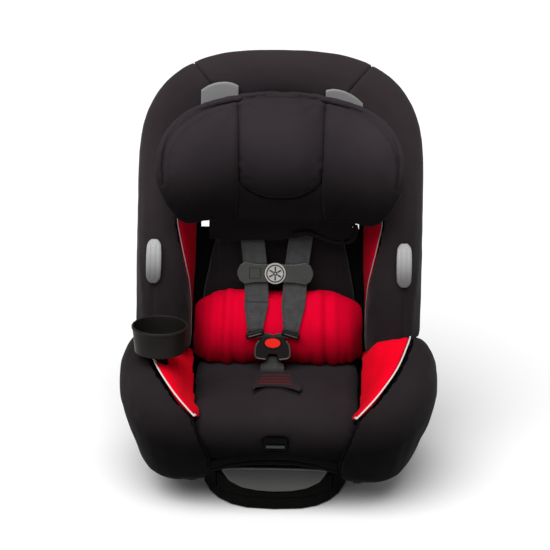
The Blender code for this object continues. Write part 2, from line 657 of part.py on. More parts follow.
def chest_clip():
    """Two halves on the shoulder straps; the round button in the middle lets them part."""
    place = frame(ACROSS, UP, on_back(CLIP_X, CLIP_T, CLIP_D))
    half, tall = CLIP_HALF
    for sign, side in ((1, "right"), (-1, "left")):
        inner = 0.0006 if side == "right" else 0.0004
        outline = [(inner, -tall * 0.78), (0.030, -tall * 0.80), (half - 0.012, -tall * 0.98), (half - 0.004, -tall * 0.7),
                   (half, -tall * 0.2), (half, tall * 0.2), (half - 0.004, tall * 0.7), (half - 0.012, tall * 0.98),
                   (0.030, tall * 0.80), (inner, tall * 0.78)]
        front = [(sign * u, v) for u, v in outline]
        made = prism(f"chest_clip_{side}", front, -0.0060, 0.0052, place, "clip_plastic", at(place, sign * 0.03, 0, 0))
        bore = rod(f"button_bore_{side}", 0.0176, 0.0012, 0.02, place, None, segments=24)
        strap_way = prism(f"strap_way_{side}", [(sign * u, v) for u, v in ((0.0078, -0.03), (0.0578, -0.03),
                                                                           (0.0578, 0.03), (0.0078, 0.03))],
                          -0.0042, 0.0012, place, None)
        modify(made, "DIFFERENCE", bore)
        modify(made, "DIFFERENCE", strap_way)
    rod("clip_button", 0.0170, 0.0042, 0.0076, place, "emblem_plastic", at(place, 0, 0, 0.0042), segments=24)


def head_top(x):
    return HEAD_T + HEAD_RISE * np.clip(1 - np.abs(x / HEAD_HALF) ** 2.2, 0, 1) ** (1 / 2.2)


def head_bottom(x):
    return HEAD_T - HEAD_DROP * np.clip(1 - np.abs(x / HEAD_HALF) ** 3.0, 0, 1) ** (1 / 3.0)


def head_depth(x, t):
    """How far the headrest's face stands out from the back: cupped, and deeper low down at the sides."""
    wide = np.clip((np.abs(x) - 0.055) / (HEAD_HALF - 0.055), 0, 1)
    height = np.clip((t - 0.215) / 0.21, 0, 1)
    reach = 0.078 * (1 - 0.55 * height**1.6)
    return 0.088 + reach * wide**1.25 - 0.012 * height**3 * (1 - wide)


def headrest():
    for sign, side in ((1, "right"), (-1, "left")):
        x = np.array([0.0692, 0.085, 0.110, 0.135, 0.158, 0.176, 0.188, 0.1925])
        v = np.array([0.0, 0.07, 0.25, 0.5, 0.75, 0.93, 1.0])
        t = head_bottom(x)[None, :] * (1 - v[:, None]) + head_top(x)[None, :] * v[:, None]
        depth = head_depth(x[None, :], t)
        ease = np.array([0.014, 0.004, 0, 0, 0, 0.004, 0.014])[:, None] + 0.012 * (x / HEAD_HALF)[None, :] ** 14
        grid_x = np.broadcast_to(x[None, :], t.shape)
        outer = on_back(sign * grid_x, t, depth - ease)
        inner = on_back(sign * grid_x, t, depth - 0.030)
        slab(f"headrest_wing_{side}", outer, inner, "black_fabric")
    x = np.linspace(-0.0680, 0.0680, 9)
    low = 0.2575 + 0.030 * np.abs(x / 0.068) ** 3
    v = np.array([0.0, 0.08, 0.3, 0.6, 0.9, 1.0])
    t = low[None, :] * (1 - v[:, None]) + (head_top(x) - 0.006)[None, :] * v[:, None]
    puff = 0.010 * np.array([0.2, 0.7, 1, 1, 0.8, 0.3])[:, None] * (1 - 0.7 * np.abs(x / 0.068) ** 4)[None, :]
    grid_x = np.broadcast_to(x[None, :], t.shape)
    base = head_depth(grid_x, t)
    slab("headrest_centre_pad", on_back(grid_x, t, base - 0.004 + puff), on_back(grid_x, t, base - 0.026), "black_mesh")
    x = np.linspace(-0.0680, 0.0680, 9)
    high = 0.2565 + 0.030 * np.abs(x / 0.068) ** 3
    v = np.linspace(0, 1, 4)
    t = 0.2185 * (1 - v[:, None]) + high[None, :] * v[:, None]
    grid_x = np.broadcast_to(x[None, :], t.shape)
    base = head_depth(grid_x, t)
    slab("headrest_lower_pad", on_back(grid_x, t, base - 0.010 + 0.004 * v[:, None]), on_back(grid_x, t, base - 0.028),
         "black_fabric")
    bib = np.array([0.1885, 0.1865, 0.1870, 0.1880, 0.1960, 0.1860, 0.1930])
    x = np.linspace(-0.113, 0.121, 7)
    t = bib[None, :] * (1 - v[:, None]) + 0.2165 * v[:, None]
    grid_x = np.broadcast_to(x[None, :], t.shape)
    lift = 0.0270 + 0.026 * v[:, None] ** 1.5
    slab("headrest_bib", on_back(grid_x, t, lift + 0.0025), on_back(grid_x, t, lift), "black_fabric")
    head_shell()


def head_shell():
    """The moulded tray behind the headrest pads, with the block that rides in the back's slot."""
    x = np.array([-0.176, -0.150, -0.120, -0.09, -0.055, 0.0, 0.055, 0.09, 0.120, 0.150, 0.176])
    v = np.linspace(0, 1, 6)
    t = (head_bottom(x) + 0.008)[None, :] * (1 - v[:, None]) + (head_top(x) - 0.028)[None, :] * v[:, None]
    grid_x = np.broadcast_to(x[None, :], t.shape)
    base = head_depth(grid_x, t)
    tray = slab("headrest_shell", *(on_back(grid_x, t, base - behind) for behind in TRAY), "black_plastic")
    modify(tray, "UNION", back_box("headrest_block", (-0.034, 0.034), (0.232, 0.282), (-0.0275, 0.0535), None))
    modify(tray, "UNION", back_box("headrest_foot", (-0.060, 0.060), (0.222, 0.286), (-0.0310, -0.0262), None))
    modify(tray, "DIFFERENCE", back_box("latch_way", (-0.008, 0.008), (0.246, 0.262), (-0.05, 0.020), None))
    back_box("headrest_latch", (-0.0074, 0.0074), (0.2466, 0.2614), (-0.0300, 0.0100), "steel",
             on_back(0, 0.254, -0.010))
    back_box("headrest_release", (-0.030, 0.030), (0.385, 0.4235), (0.0365, 0.0410), "dark_grey_plastic",
             on_back(0, 0.405, 0.039))
    rack = [(0.046, 0.215), (0.046, 0.403), (0.0405, 0.403)]
    for k in range(8, -1, -1):
        t = 0.222 + 0.020 * k
        rack += [(0.0405, t + 0.012), (0.0435, t + 0.010), (0.0435, t + 0.003), (0.0405, t + 0.001)]
    rack += [(0.0405, 0.215)]
    for sign, side in ((1, "right"), (-1, "left")):
        prism(f"height_rack_{side}", [(sign * (u + 0.004), v) for u, v in rack], -0.0256, -0.0230, BACK, "steel")


def base():
    half_x, half_y = BASE_HALF
    angles = np.linspace(0, 2 * pi, 29)[:-1]

    def ring(shrink, z):
        c, s = np.cos(angles), np.sin(angles)
        x = (half_x - shrink) * np.abs(c) ** (2 / BASE_POWER) * np.sign(c)
        y = (half_y - shrink) * np.abs(s) ** (2 / BASE_POWER) * np.sign(s)
        return [(a, BASE_Y + b, z) for a, b in zip(x, y)]

    rings = [ring(0.005, 0.0), ring(0.0012, 0.003), ring(0.0, 0.012), ring(0.0015, BASE_HEIGHT)]
    rings += [ring(0.0015 + BASE_WALL, BASE_HEIGHT), ring(0.012, 0.0065), ring(0.018, BASE_WALL)]
    frame_body = loft("base_frame", rings, "black_plastic")
    modify(frame_body, "DIFFERENCE", box("handle_bay", (-0.090, -0.30, 0.0200), (0.090, -0.20, 0.06), None))
    for sign, side in ((1, "right"), (-1, "left")):
        angle = np.linspace(-radians(22.5), radians(22.5), 9)
        arc = [(RECLINE_Y + RAIL_R[0] * sin(a), RECLINE_Z - RAIL_R[0] * cos(a)) for a in angle]
        floor = BASE_WALL + 0.0003
        outline = arc + [(arc[-1][0], floor), (arc[0][0], floor)]
        lo, hi = sorted((sign * (ROCKER_X - 0.007), sign * (ROCKER_X + 0.013)))
        prism(f"base_rail_{side}", outline, lo, hi, SIDEWAYS, "dark_grey_plastic")
        angle = np.linspace(radians(-18), radians(15), 8)
        outer_arc = [(RECLINE_Y + ROCKER_R[1] * sin(a), RECLINE_Z - ROCKER_R[1] * cos(a)) for a in angle]
        top, step = 0.1185, 0.1040
        outline = outer_arc + [(outer_arc[-1][0], step), (0.026, step), (0.026, top), (outer_arc[0][0], top)]
        lo, hi = sorted((sign * ROCKER_X, sign * (ROCKER_X + ROCKER_THICK)))
        rocker = prism(f"rocker_{side}", outline, lo, hi, SIDEWAYS, "black_plastic")
        modify(rocker, "DIFFERENCE", bolt_slot(f"bolt_slot_{side}"))
    notches()
    bolt()


def radial(radius, angle):
    return RECLINE_Y + radius * sin(angle), RECLINE_Z - radius * cos(angle)


def bolt_slot(name):
    """Room for the lock bolt to lift towards the recline axis."""
    corners = [radial(BOLT_RADIUS_AT + dr, BOLT_ANGLE + da)
               for dr, da in ((0.0065, -0.0135), (0.0065, 0.0135), (-0.0165, 0.0135), (-0.0165, -0.0135))]
    return prism(name, corners, -0.1, 0.1, SIDEWAYS, None)


def notches():
    """A toothed arc on the base's floor, whose notches the lock bolt drops into."""
    top = BOLT_RADIUS_AT + BOLT_R + 0.0007
    step = radians(4)
    points = []
    for k in range(5):
        centre = BOLT_ANGLE + step * k
        for dr, da in ((0.0, -0.020), (0.009, -0.013), (0.009, 0.013), (0.0, 0.020)):
            points.append(radial(top + dr, centre + da))
    start, end = radial(top, BOLT_ANGLE - 0.05), radial(top, BOLT_ANGLE + 4 * step + 0.05)
    floor = BASE_WALL + 0.0003
    outline = [(start[0], floor), start] + points + [end, (end[0], floor)]
    prism("notch_plate", outline, -0.012, 0.012, SIDEWAYS, "steel")


def bolt():
    y, z = radial(BOLT_RADIUS_AT, BOLT_ANGLE)
    rod("recline_bolt", BOLT_R, -0.0755, 0.0755, frame((0, 1, 0), (0, 0, 1), (0.0, y, z)), "steel", (0.0, y, z), 14)


def recline_handle():
    """A half-moon grip under the front of the seat, on a cross pin."""
    face = [(-0.0805, 0.0700), (-0.0800, 0.0640), (-0.0695, 0.0490), (-0.0505, 0.0385), (-0.0265, 0.0335),
            (0.0, 0.0320), (0.0265, 0.0335), (0.0505, 0.0385), (0.0695, 0.0490), (0.0800, 0.0640),
            (0.0805, 0.0700), (0.0780, 0.0715), (-0.0780, 0.0715)]
    mid = (0.0, 0.055)

    def ring(scale, y):
        return [(u * scale, y, mid[1] + (v - mid[1]) * scale) for u, v in face]

    rings = [ring(0.90, -0.2520), ring(0.97, -0.2500), ring(1.0, -0.2440), ring(0.99, -0.2320), ring(0.93, -0.2310)]
    grip = loft("recline_handle", rings, "dark_grey_plastic", (0.0, PIVOT_Y, PIVOT_Z))
    web = box("handle_web", (-0.046, -0.236, 0.0545), (0.046, PIVOT_Y, 0.0620), None)
    hub = rod("handle_hub", 0.0080, -0.0585, 0.0585, PIVOT, None)
    bore = rod("handle_bore", 0.0034, -0.07, 0.07, PIVOT, None)
    modify(grip, "UNION", web)
    modify(grip, "UNION", hub)
    modify(grip, "DIFFERENCE", bore)
    rod("handle_pin", 0.0030, -0.068, 0.068, PIVOT, "steel")


def adjuster():
    """The harness tightener in the cushion's front: a bezel, a lever and the pull strap under it."""
    centre_x, centre_z = 0.001, ADJUSTER_Z
    frame_out = [(centre_x + u, centre_z + v) for u, v in rounded(0.0178, 0.0068, 0.002, 2)]
    bezel = prism("adjuster_bezel", frame_out, 0.2330, 0.2640, FRONT, "black_plastic")
    window = [(centre_x + u, centre_z + v) for u, v in rounded(0.0150, 0.0045, 0.001, 1)]
    modify(bezel, "DIFFERENCE", prism("bezel_window", window, 0.2440, 0.27, FRONT, None))
    pivot = (centre_x, -0.2500, centre_z + 0.0015)
    lever = [(-0.2660, 0.0016), (-0.2655, -0.0024), (-0.2515, -0.0014), (-0.2490, 0.0), (-0.2515, 0.0026)]
    prism("adjuster_lever", [(y, centre_z + v) for y, v in lever], centre_x - 0.0142, centre_x + 0.0142,
          SIDEWAYS, "dark_grey_plastic", pivot)


def cup_holder():
    outer = ((0.0, 0.0), (0.0365, 0.0), (0.0385, 0.0015), (0.0405, 0.0265), (0.0420, 0.0380), (0.0432, 0.0390),
             (0.0432, 0.0415), (0.0412, 0.0430), (0.0395, 0.0420), (0.0378, 0.0265), (0.0360, 0.0050),
             (0.0340, 0.0032), (0.0, 0.0032))
    mesh = bpy.data.meshes.new("cup_holder")
    mesh.from_pydata([(r, 0.0, z) for r, z in outer[::-1]], [(k, k + 1) for k in range(len(outer) - 1)], [])
    cup = bpy.data.objects.new("cup_holder", mesh)
    cup.location = CUP
    mesh.materials.append(material("black_plastic:cup_holder"))
    SEAT.objects.link(cup)
    turn = cup.modifiers.new("Turn", "SCREW")
    turn.steps = 28
    turn.render_steps = 28
    turn.use_merge_vertices = True
    turn.merge_threshold = 0.0001
    turn.use_smooth_shade = False
    place = Matrix.Translation(CUP)
    modify(cup, "UNION", rod("cup_peg", 0.0080, -0.012, 0.002, place, None))
    socket = rod("cup_socket", 0.0119, -0.0205, -0.0008, place, "black_plastic", segments=20)
    modify(socket, "DIFFERENCE", rod("socket_bore", 0.0085, -0.0165, 0.01, place, None))


def splitter():
    """The metal plate behind the back that joins the shoulder straps to the adjuster's strap."""
    plate = back_box("splitter_plate", (-0.026, 0.026), (0.120, 0.160), (-0.0290, -0.0265), "steel")
    modify(plate, "DIFFERENCE", back_box("splitter_slot", (-0.020, 0.020), (0.146, 0.152), (-0.04, -0.02), None))
    path = [on_back(0, t, -0.0254) for t in (0.116, 0.07, 0.02)]
    ribbon("adjuster_strap", path, OUT, "webbing")


clear_scene()
SEAT = new_collection("convertible_car_seat")
CUTTERS = new_collection("cutters")
CUTTERS.hide_render = True
shell()
seat_sides()
torso_band()
cushion()
back_pad()
pillow()
belt_guides()
harness()
buckle()
chest_clip()
headrest()
base()
recline_handle()
adjuster()
cup_holder()
splitter()
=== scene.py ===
"""A convertible child car seat in a pale studio: pads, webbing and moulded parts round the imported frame."""

import json
from math import cos, pi, radians, sin

import bmesh
import bpy
import numpy as np
from mathutils import Matrix, Vector
from mathutils.bvhtree import BVHTree

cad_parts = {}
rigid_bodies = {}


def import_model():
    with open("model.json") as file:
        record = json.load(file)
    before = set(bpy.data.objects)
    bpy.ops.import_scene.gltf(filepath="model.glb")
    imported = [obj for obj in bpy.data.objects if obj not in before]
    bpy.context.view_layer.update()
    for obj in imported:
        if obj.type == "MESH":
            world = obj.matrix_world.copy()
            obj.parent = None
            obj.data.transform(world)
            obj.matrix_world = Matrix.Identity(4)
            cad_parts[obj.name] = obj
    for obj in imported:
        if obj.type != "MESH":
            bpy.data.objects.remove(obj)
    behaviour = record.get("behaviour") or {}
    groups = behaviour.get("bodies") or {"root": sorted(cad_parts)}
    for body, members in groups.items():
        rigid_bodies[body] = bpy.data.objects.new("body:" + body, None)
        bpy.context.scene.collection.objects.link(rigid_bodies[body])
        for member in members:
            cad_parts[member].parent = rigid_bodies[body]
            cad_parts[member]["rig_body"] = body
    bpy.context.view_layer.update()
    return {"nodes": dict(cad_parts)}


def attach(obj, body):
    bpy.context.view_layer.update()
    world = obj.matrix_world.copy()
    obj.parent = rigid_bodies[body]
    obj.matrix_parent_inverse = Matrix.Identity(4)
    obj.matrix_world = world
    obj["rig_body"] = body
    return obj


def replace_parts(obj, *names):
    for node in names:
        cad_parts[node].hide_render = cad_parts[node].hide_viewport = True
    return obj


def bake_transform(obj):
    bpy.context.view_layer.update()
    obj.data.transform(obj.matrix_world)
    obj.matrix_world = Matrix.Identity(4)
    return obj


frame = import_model()
NODES = frame["nodes"]

# The back's own directions: across, up its slope, and out towards the child.
BACK_TILT = radians(14)
BACK_FOOT = Vector((0.0, 0.02, 0.15))
ACROSS = Vector((1.0, 0.0, 0.0))
UP = Vector((0.0, sin(BACK_TILT), cos(BACK_TILT)))
OUT = Vector((0.0, -cos(BACK_TILT), sin(BACK_TILT)))

# Camera
CAMERA_AZIMUTH = radians(0.5)
CAMERA_ELEVATION = radians(19)
CAMERA_ROLL = radians(0.9)
CAMERA_DISTANCE = 3.0
CAMERA_TARGET = Vector((0.0, -0.02, 0.29))
CAMERA_LENS = 124.28
CAMERA_SHIFT = (-0.0067, 0.0109)

# Light
WORLD_LIGHT = 0.38
SUN_TOWARD = (-0.22, -0.50, 1.0)
SUN_SPREAD = radians(62)
SUN_ENERGY = 3.3

# The buckle's middle, and its own directions: up its slope and out towards the child
BUCKLE = Vector((-0.0078, -0.0345, 0.182))
BUCKLE_TILT = radians(17)
BUCKLE_UP = Vector((0.0, sin(BUCKLE_TILT), cos(BUCKLE_TILT)))
BUCKLE_OUT = Vector((0.0, -cos(BUCKLE_TILT), sin(BUCKLE_TILT)))

DOWN = Vector((0.0, 0.0, -1.0))


# ---- materials

class Finish:
    """A Principled material, with short calls for the textures that feed it. Coordinates are in metres."""

    def __init__(self, name, colour, roughness, **constants):
        self.material = bpy.data.materials.new(name)
        self.material.use_nodes = True
        self.tree = self.material.node_tree
        self.shader = self.tree.nodes["Principled BSDF"]
        self.shader.inputs["Base Color"].default_value = (*colour, 1.0)
        self.shader.inputs["Roughness"].default_value = roughness
        for socket, value in constants.items():
            self.shader.inputs[socket.replace("_", " ")].default_value = value
        self.colour = colour
        self.place = self.node("ShaderNodeTexCoord").outputs["Object"]

    def node(self, kind, inputs=(), **settings):
        made = self.tree.nodes.new(kind)
        for key, value in settings.items():
            setattr(made, key, value)
        for socket, value in dict(inputs).items():
            target = made.inputs[socket]
            if isinstance(value, bpy.types.NodeSocket):
                self.tree.links.new(value, target)
            else:
                target.default_value = value
        return made

    def noise(self, scale, detail=2.0, stretch=None):
        place = self.place
        if stretch:
            place = self.node("ShaderNodeMapping", {"Vector": place, "Scale": stretch}).outputs[0]
        return self.node("ShaderNodeTexNoise", {"Vector": place, "Scale": scale, "Detail": detail}).outputs[0]

    def cells(self, scale, smooth=True):
        return self.node("ShaderNodeTexVoronoi", {"Vector": self.place, "Scale": scale},
                         feature="SMOOTH_F1" if smooth else "F1").outputs[0]

    def bands(self, scale, direction, turn, wobble):
        turned = self.node("ShaderNodeMapping", {"Vector": self.place, "Rotation": turn}).outputs[0]
        return self.node("ShaderNodeTexWave", {"Vector": turned, "Scale": scale, "Distortion": wobble},
                         bands_direction=direction).outputs[1]

    def spread(self, value, low, high, out_low=0.0, out_high=1.0):
        return self.node("ShaderNodeMapRange", {0: value, 1: low, 2: high, 3: out_low, 4: out_high}).outputs[0]

    def sum(self, a, b, share):
        return self.node("ShaderNodeMath", {0: b, 1: share, 2: a}, operation="MULTIPLY_ADD").outputs[0]

    def times(self, a, b):
        return self.node("ShaderNodeMath", {0: a, 1: b}, operation="MULTIPLY").outputs[0]

    def tint(self, amount, low, high):
        """Makes the colour run from darker to lighter with the amount."""
        dark, light = ((*(min(c * share, 1.0) for c in self.colour), 1.0) for share in (low, high))
        mix = self.node("ShaderNodeMix", {0: amount, 6: dark, 7: light}, data_type="RGBA")
        self.tree.links.new(mix.outputs[2], self.shader.inputs["Base Color"])

    def vary_roughness(self, amount, low, high):
        self.tree.links.new(self.spread(amount, 0.3, 0.7, low, high), self.shader.inputs["Roughness"])

    def fade(self, start, stop, low, high=1.0):
        """Painted light and shade by height: multiplies the colour by a share at one height and another share
        at a greater height.
        """
        height = self.node("ShaderNodeSeparateXYZ", {"Vector": self.place}).outputs[2]
        share = self.node("ShaderNodeMapRange", {0: height, 1: start, 2: stop, 3: low, 4: high},
                          interpolation_type="SMOOTHSTEP").outputs[0]
        socket = self.shader.inputs["Base Color"]
        painted_mix = self.node("ShaderNodeMix", {0: 1.0, 6: socket.links[0].from_socket, 7: share}, data_type="RGBA",
                          blend_type="MULTIPLY")
        self.tree.links.new(painted_mix.outputs[2], socket)

    def bump(self, height, strength, distance):
        made = self.node("ShaderNodeBump", {"Strength": strength, "Distance": distance, "Height": height})
        self.tree.links.new(made.outputs[0], self.shader.inputs["Normal"])


def knit(name, colour, loop=1100.0, bump=0.35, sheen=0.22, fade=None, gloss=0.05):
    """Close knitted cloth: small loops, loose fibres, and a faint unevenness of dye. Height shares, if given,
    darken it lower down: painted shade.
    """
    f = Finish(name, colour, 0.92, Sheen_Weight=sheen, Sheen_Roughness=0.45, Specular_IOR_Level=gloss)
    f.shader.inputs["Sheen Tint"].default_value = (*(min(1.0, 0.55 + c) for c in colour), 1.0)
    loops = f.cells(loop)
    fibres = f.noise(2600.0, 3.0)
    tone = f.sum(f.times(f.noise(9.0, 3.0), 0.7), f.sum(f.times(loops, 0.5), fibres, 0.25), 0.55)
    f.tint(f.spread(tone, 0.35, 0.85), 0.78, 1.22)
    if fade:
        f.fade(*fade)
    f.vary_roughness(f.noise(40.0), 0.84, 0.97)
    f.bump(f.sum(loops, fibres, 0.45), bump, 0.0006)
    return f.material


def air_mesh(name, colour):
    """Spacer mesh: open cells with a matt ground between them."""
    f = Finish(name, colour, 0.95, Sheen_Weight=0.15, Sheen_Roughness=0.5, Specular_IOR_Level=0.06)
    cells = f.cells(620.0, False)
    f.tint(f.sum(f.times(f.noise(14.0), 0.4), cells, 0.6), 0.62, 1.30)
    f.vary_roughness(f.noise(60.0), 0.88, 0.99)
    f.bump(cells, 0.55, 0.0009)
    return f.material


def woven(name, colour, rib_pitch=0.0016, warp_pitch=0.0011):
    """Seat-belt webbing: ribs across the strap and fine warp lines along it."""
    f = Finish(name, colour, 0.62, Sheen_Weight=0.12, Specular_IOR_Level=0.35)
    turn = (-BACK_TILT, 0.0, 0.0)
    ribs = f.bands(pi / (10 * rib_pitch), "Z", turn, 0.4)
    warp = f.bands(pi / (10 * warp_pitch), "X", turn, 0.3)
    weave = f.sum(f.times(ribs, 0.6), warp, 0.4)
    f.tint(f.sum(f.times(f.noise(18.0), 0.4), weave, 0.6), 0.70, 1.25)
    f.vary_roughness(f.noise(90.0), 0.52, 0.74)
    f.bump(f.sum(weave, f.noise(3000.0), 0.3), 0.5, 0.0005)
    return f.material


def moulded(name, colour, roughness, grain=1500.0, bump=0.12, edge_wear_and_highlight=1.5, gloss=0.30, fade=None):
    """Grained plastic, lighter on its edges: rubbed wear, and where the share is large, as on the cup's rim, a
    painted highlight. Height shares, if given, paint light and shade.
    """
    f = Finish(name, colour, roughness, Specular_IOR_Level=gloss)
    leather = f.cells(grain * 0.55)
    fine = f.noise(grain * 1.6, 2.0)
    edge = f.spread(f.node("ShaderNodeNewGeometry").outputs["Pointiness"], 0.505, 0.60)
    f.tint(f.sum(f.times(f.noise(16.0, 3.0), 0.35), edge, 0.65), 0.88, edge_wear_and_highlight)
    if fade:
        f.fade(*fade)
    f.vary_roughness(f.noise(34.0, 4.0), roughness - 0.07, roughness + 0.10)
    f.bump(f.sum(leather, fine, 0.6), bump, 0.0004)
    return f.material


def plated(name, colour):
    """Plated steel with the faint lines of its rolling."""
    f = Finish(name, colour, 0.30, Metallic=1.0)
    lines = f.noise(120.0, 3.0, (1.0, 14.0, 14.0))
    f.tint(lines, 0.8, 1.15)
    f.vary_roughness(f.noise(55.0, 4.0), 0.22, 0.42)
    f.bump(lines, 0.08, 0.0002)
    return f.material


# Colours are linear. Height shares paint light and shade: two heights, and the share of the colour at each.
FINE_KNIT = {"loop": 1350.0, "bump": 0.28}
SEAT_KNIT = {"loop": 1200.0, "sheen": 0.03}
RED_KNIT = {"loop": 1250.0, "bump": 0.30, "sheen": 0.015, "gloss": 0.02}

# The black knits are darkened lower down by their height shares: painted shade, deepest under the headrest.
CLOTH = knit("black_knit", (0.0300, 0.0235, 0.0265), sheen=0.10, fade=(0.24, 0.50, 0.42))
CLOTH_FINE = knit("black_knit_headrest", (0.0310, 0.0250, 0.0290), sheen=0.04, fade=(0.405, 0.535, 0.09),
                  **FINE_KNIT)
# The bib's knit is a darker copy of the headrest's: painted shade under the headrest.
CLOTH_BIB_SHADED = knit("black_knit_bib_painted_shade", (0.0085, 0.0068, 0.0076), sheen=0.05, **FINE_KNIT)
# The bolsters' knit is a darker copy of the black knit: painted shade.
CLOTH_SEAT_SHADED = knit("black_knit_seat_painted_shade", (0.0165, 0.0130, 0.0145), fade=(0.095, 0.185, 0.07), **SEAT_KNIT)
CLOTH_CUSHION = knit("black_knit_cushion", (0.0258, 0.0203, 0.0226), fade=(0.098, 0.172, 0.035), **SEAT_KNIT)
MESH = air_mesh("black_air_mesh", (0.0095, 0.0075, 0.0082))
# The red knits are darkened lower down by their height shares: painted shade. The back's red is a darker copy
# of the red: painted shade.
RED = knit("red_knit", (0.76, 0.0008, 0.014), fade=(0.13, 0.19, 0.72), **RED_KNIT)
RED_TORSO_SHADED = knit("red_knit_back_painted_shade", (0.42, 0.0005, 0.014), fade=(0.24, 0.36, 0.62), **RED_KNIT)
RED_PILLOW = knit("red_knit_pillow", (0.66, 0.0006, 0.023), fade=(0.155, 0.225, 0.28), **RED_KNIT)
# The back's piping cloth is a darker copy of the white piping: painted shade.
WHITE_BACK_SHADED = knit("piping_cloth_back_painted_shade", (0.30, 0.26, 0.26), 1800.0, 0.25, 0.05)
WHITE = knit("piping_cloth", (0.62, 0.60, 0.58), 1800.0, 0.25, 0.1)
THREAD_BLACK = knit("black_thread", (0.016, 0.014, 0.015), 2600.0, 0.3, 0.2)
THREAD_RED = knit("red_thread", (0.30, 0.004, 0.012), 2600.0, 0.3, 0.1)
WEB = woven("harness_webbing", (0.024, 0.024, 0.026))
BLACK = moulded("black_moulded", (0.0055, 0.0048, 0.0044), 0.40, gloss=0.14)
# The cup's edges are brightened far past wear: a painted highlight on its rim.
CUP = moulded("cup_moulded", (0.0048, 0.0042, 0.0038), 0.36, edge_wear_and_highlight=9.0, gloss=0.06)
SHELL = moulded("shell_moulded", (0.0036, 0.0033, 0.0033), 0.60, 1100.0, 0.2, edge_wear_and_highlight=1.05, gloss=0.02)
BASE = moulded("base_moulded", (0.0026, 0.0024, 0.0022), 0.50, 1100.0, 0.2, gloss=0.02)
# The side guides are lighter at the top and darker low down by their height shares: painted light and shade.
GREY = moulded("guide_moulded", (0.235, 0.233, 0.237), 0.36, 1700.0, 0.08, edge_wear_and_highlight=1.15,
               fade=(0.292, 0.350, 0.42, 1.55))
CLIP = moulded("clip_moulded", (0.036, 0.038, 0.035), 0.32, 1700.0, 0.10, edge_wear_and_highlight=1.35, gloss=0.5)
CLIP_DARK = moulded("clip_relief_moulded", (0.012, 0.012, 0.0115), 0.40, 1700.0, 0.06, edge_wear_and_highlight=1.2)
EMBLEM = moulded("emblem_moulded", (0.42, 0.41, 0.40), 0.42, 1900.0, 0.06, edge_wear_and_highlight=1.1)
# The handle is lighter low down and darker at its top by its height shares: painted light and shade.
HANDLE = moulded("handle_moulded", (0.016, 0.016, 0.0155), 0.38, 1300.0, 0.16, edge_wear_and_highlight=1.6, gloss=0.35,
                 fade=(0.034, 0.068, 2.7, 0.60))
# The lip's plastic is a lighter copy of the handle's: painted highlight.
HANDLE_LIP_HIGHLIGHT = moulded("handle_lip_painted_highlight", (0.034, 0.034, 0.032), 0.36, 1300.0, 0.12, edge_wear_and_highlight=1.4, gloss=0.35)
BUTTON = moulded("button_moulded", (0.84, 0.012, 0.002), 0.30, 2200.0, 0.04, edge_wear_and_highlight=1.1)
METAL = plated("plated_steel", (0.52, 0.53, 0.55))
DARK_METAL = plated("blackened_steel", (0.07, 0.07, 0.073))
GUIDE = moulded("top_guide_moulded", (0.175, 0.175, 0.174), 0.36, 1700.0, 0.10, edge_wear_and_highlight=1.4, gloss=0.4)


# ---- mesh tools

def link(name, mesh):
    obj = bpy.data.objects.new(name, mesh)
    bpy.context.scene.collection.objects.link(obj)
    return obj


def points_of(mesh, kind="co"):
    flat = np.zeros(len(mesh.vertices) * 3)
    mesh.vertices.foreach_get(kind, flat)
    return flat.reshape(-1, 3)


def normals_of(mesh):
    return points_of(mesh, "normal")


def set_points(mesh, points):
    mesh.vertices.foreach_set("co", np.ascontiguousarray(points).ravel())
    mesh.update()


def welded(name):
    """A node's mesh with the points that its export doubled joined again."""
    edit = bmesh.new()
    edit.from_mesh(NODES[name].data)
    bmesh.ops.remove_doubles(edit, verts=edit.verts, dist=0.000002)
    edit.normal_update()
    return edit


def mesh_from(name, edit):
    mesh = bpy.data.meshes.new(name)
    edit.to_mesh(mesh)
    edit.free()
    return mesh


def bridge(edit, rings):
    """Faces between each closed ring of points and the next."""
    for low, high in zip(rings[:-1], rings[1:]):
        for k in range(len(low)):
            n = (k + 1) % len(low)
            edit.faces.new((low[k], low[n], high[n], high[k]))


def tube(name, places):
    """A closed form through rings of places, with a face over each end."""
    edit = bmesh.new()
    rings = [[edit.verts.new(place) for place in ring] for ring in places]
    bridge(edit, rings)
    edit.faces.new(rings[0][::-1])
    edit.faces.new(rings[-1])
    bmesh.ops.recalc_face_normals(edit, faces=edit.faces)
    return mesh_from(name, edit)


def apply_modifiers(obj):
    graph = bpy.context.evaluated_depsgraph_get()
    mesh = bpy.data.meshes.new_from_object(obj.evaluated_get(graph))
    obj.modifiers.clear()
    old, obj.data = obj.data, mesh
    bpy.data.meshes.remove(old)
    obj.data.name = obj.name


def modifier(obj, kind, **settings):
    made = obj.modifiers.new(kind.title(), kind)
    for key, value in settings.items():
        setattr(made, key, value)
    return made


def tree_of(obj):
    """A search tree over an object's faces."""
    mesh = obj.data
    return BVHTree.FromPolygons([v.co for v in mesh.vertices], [list(p.vertices) for p in mesh.polygons])


def on_back(x, t, d):
    return BACK_FOOT + ACROSS * x + UP * t + OUT * d


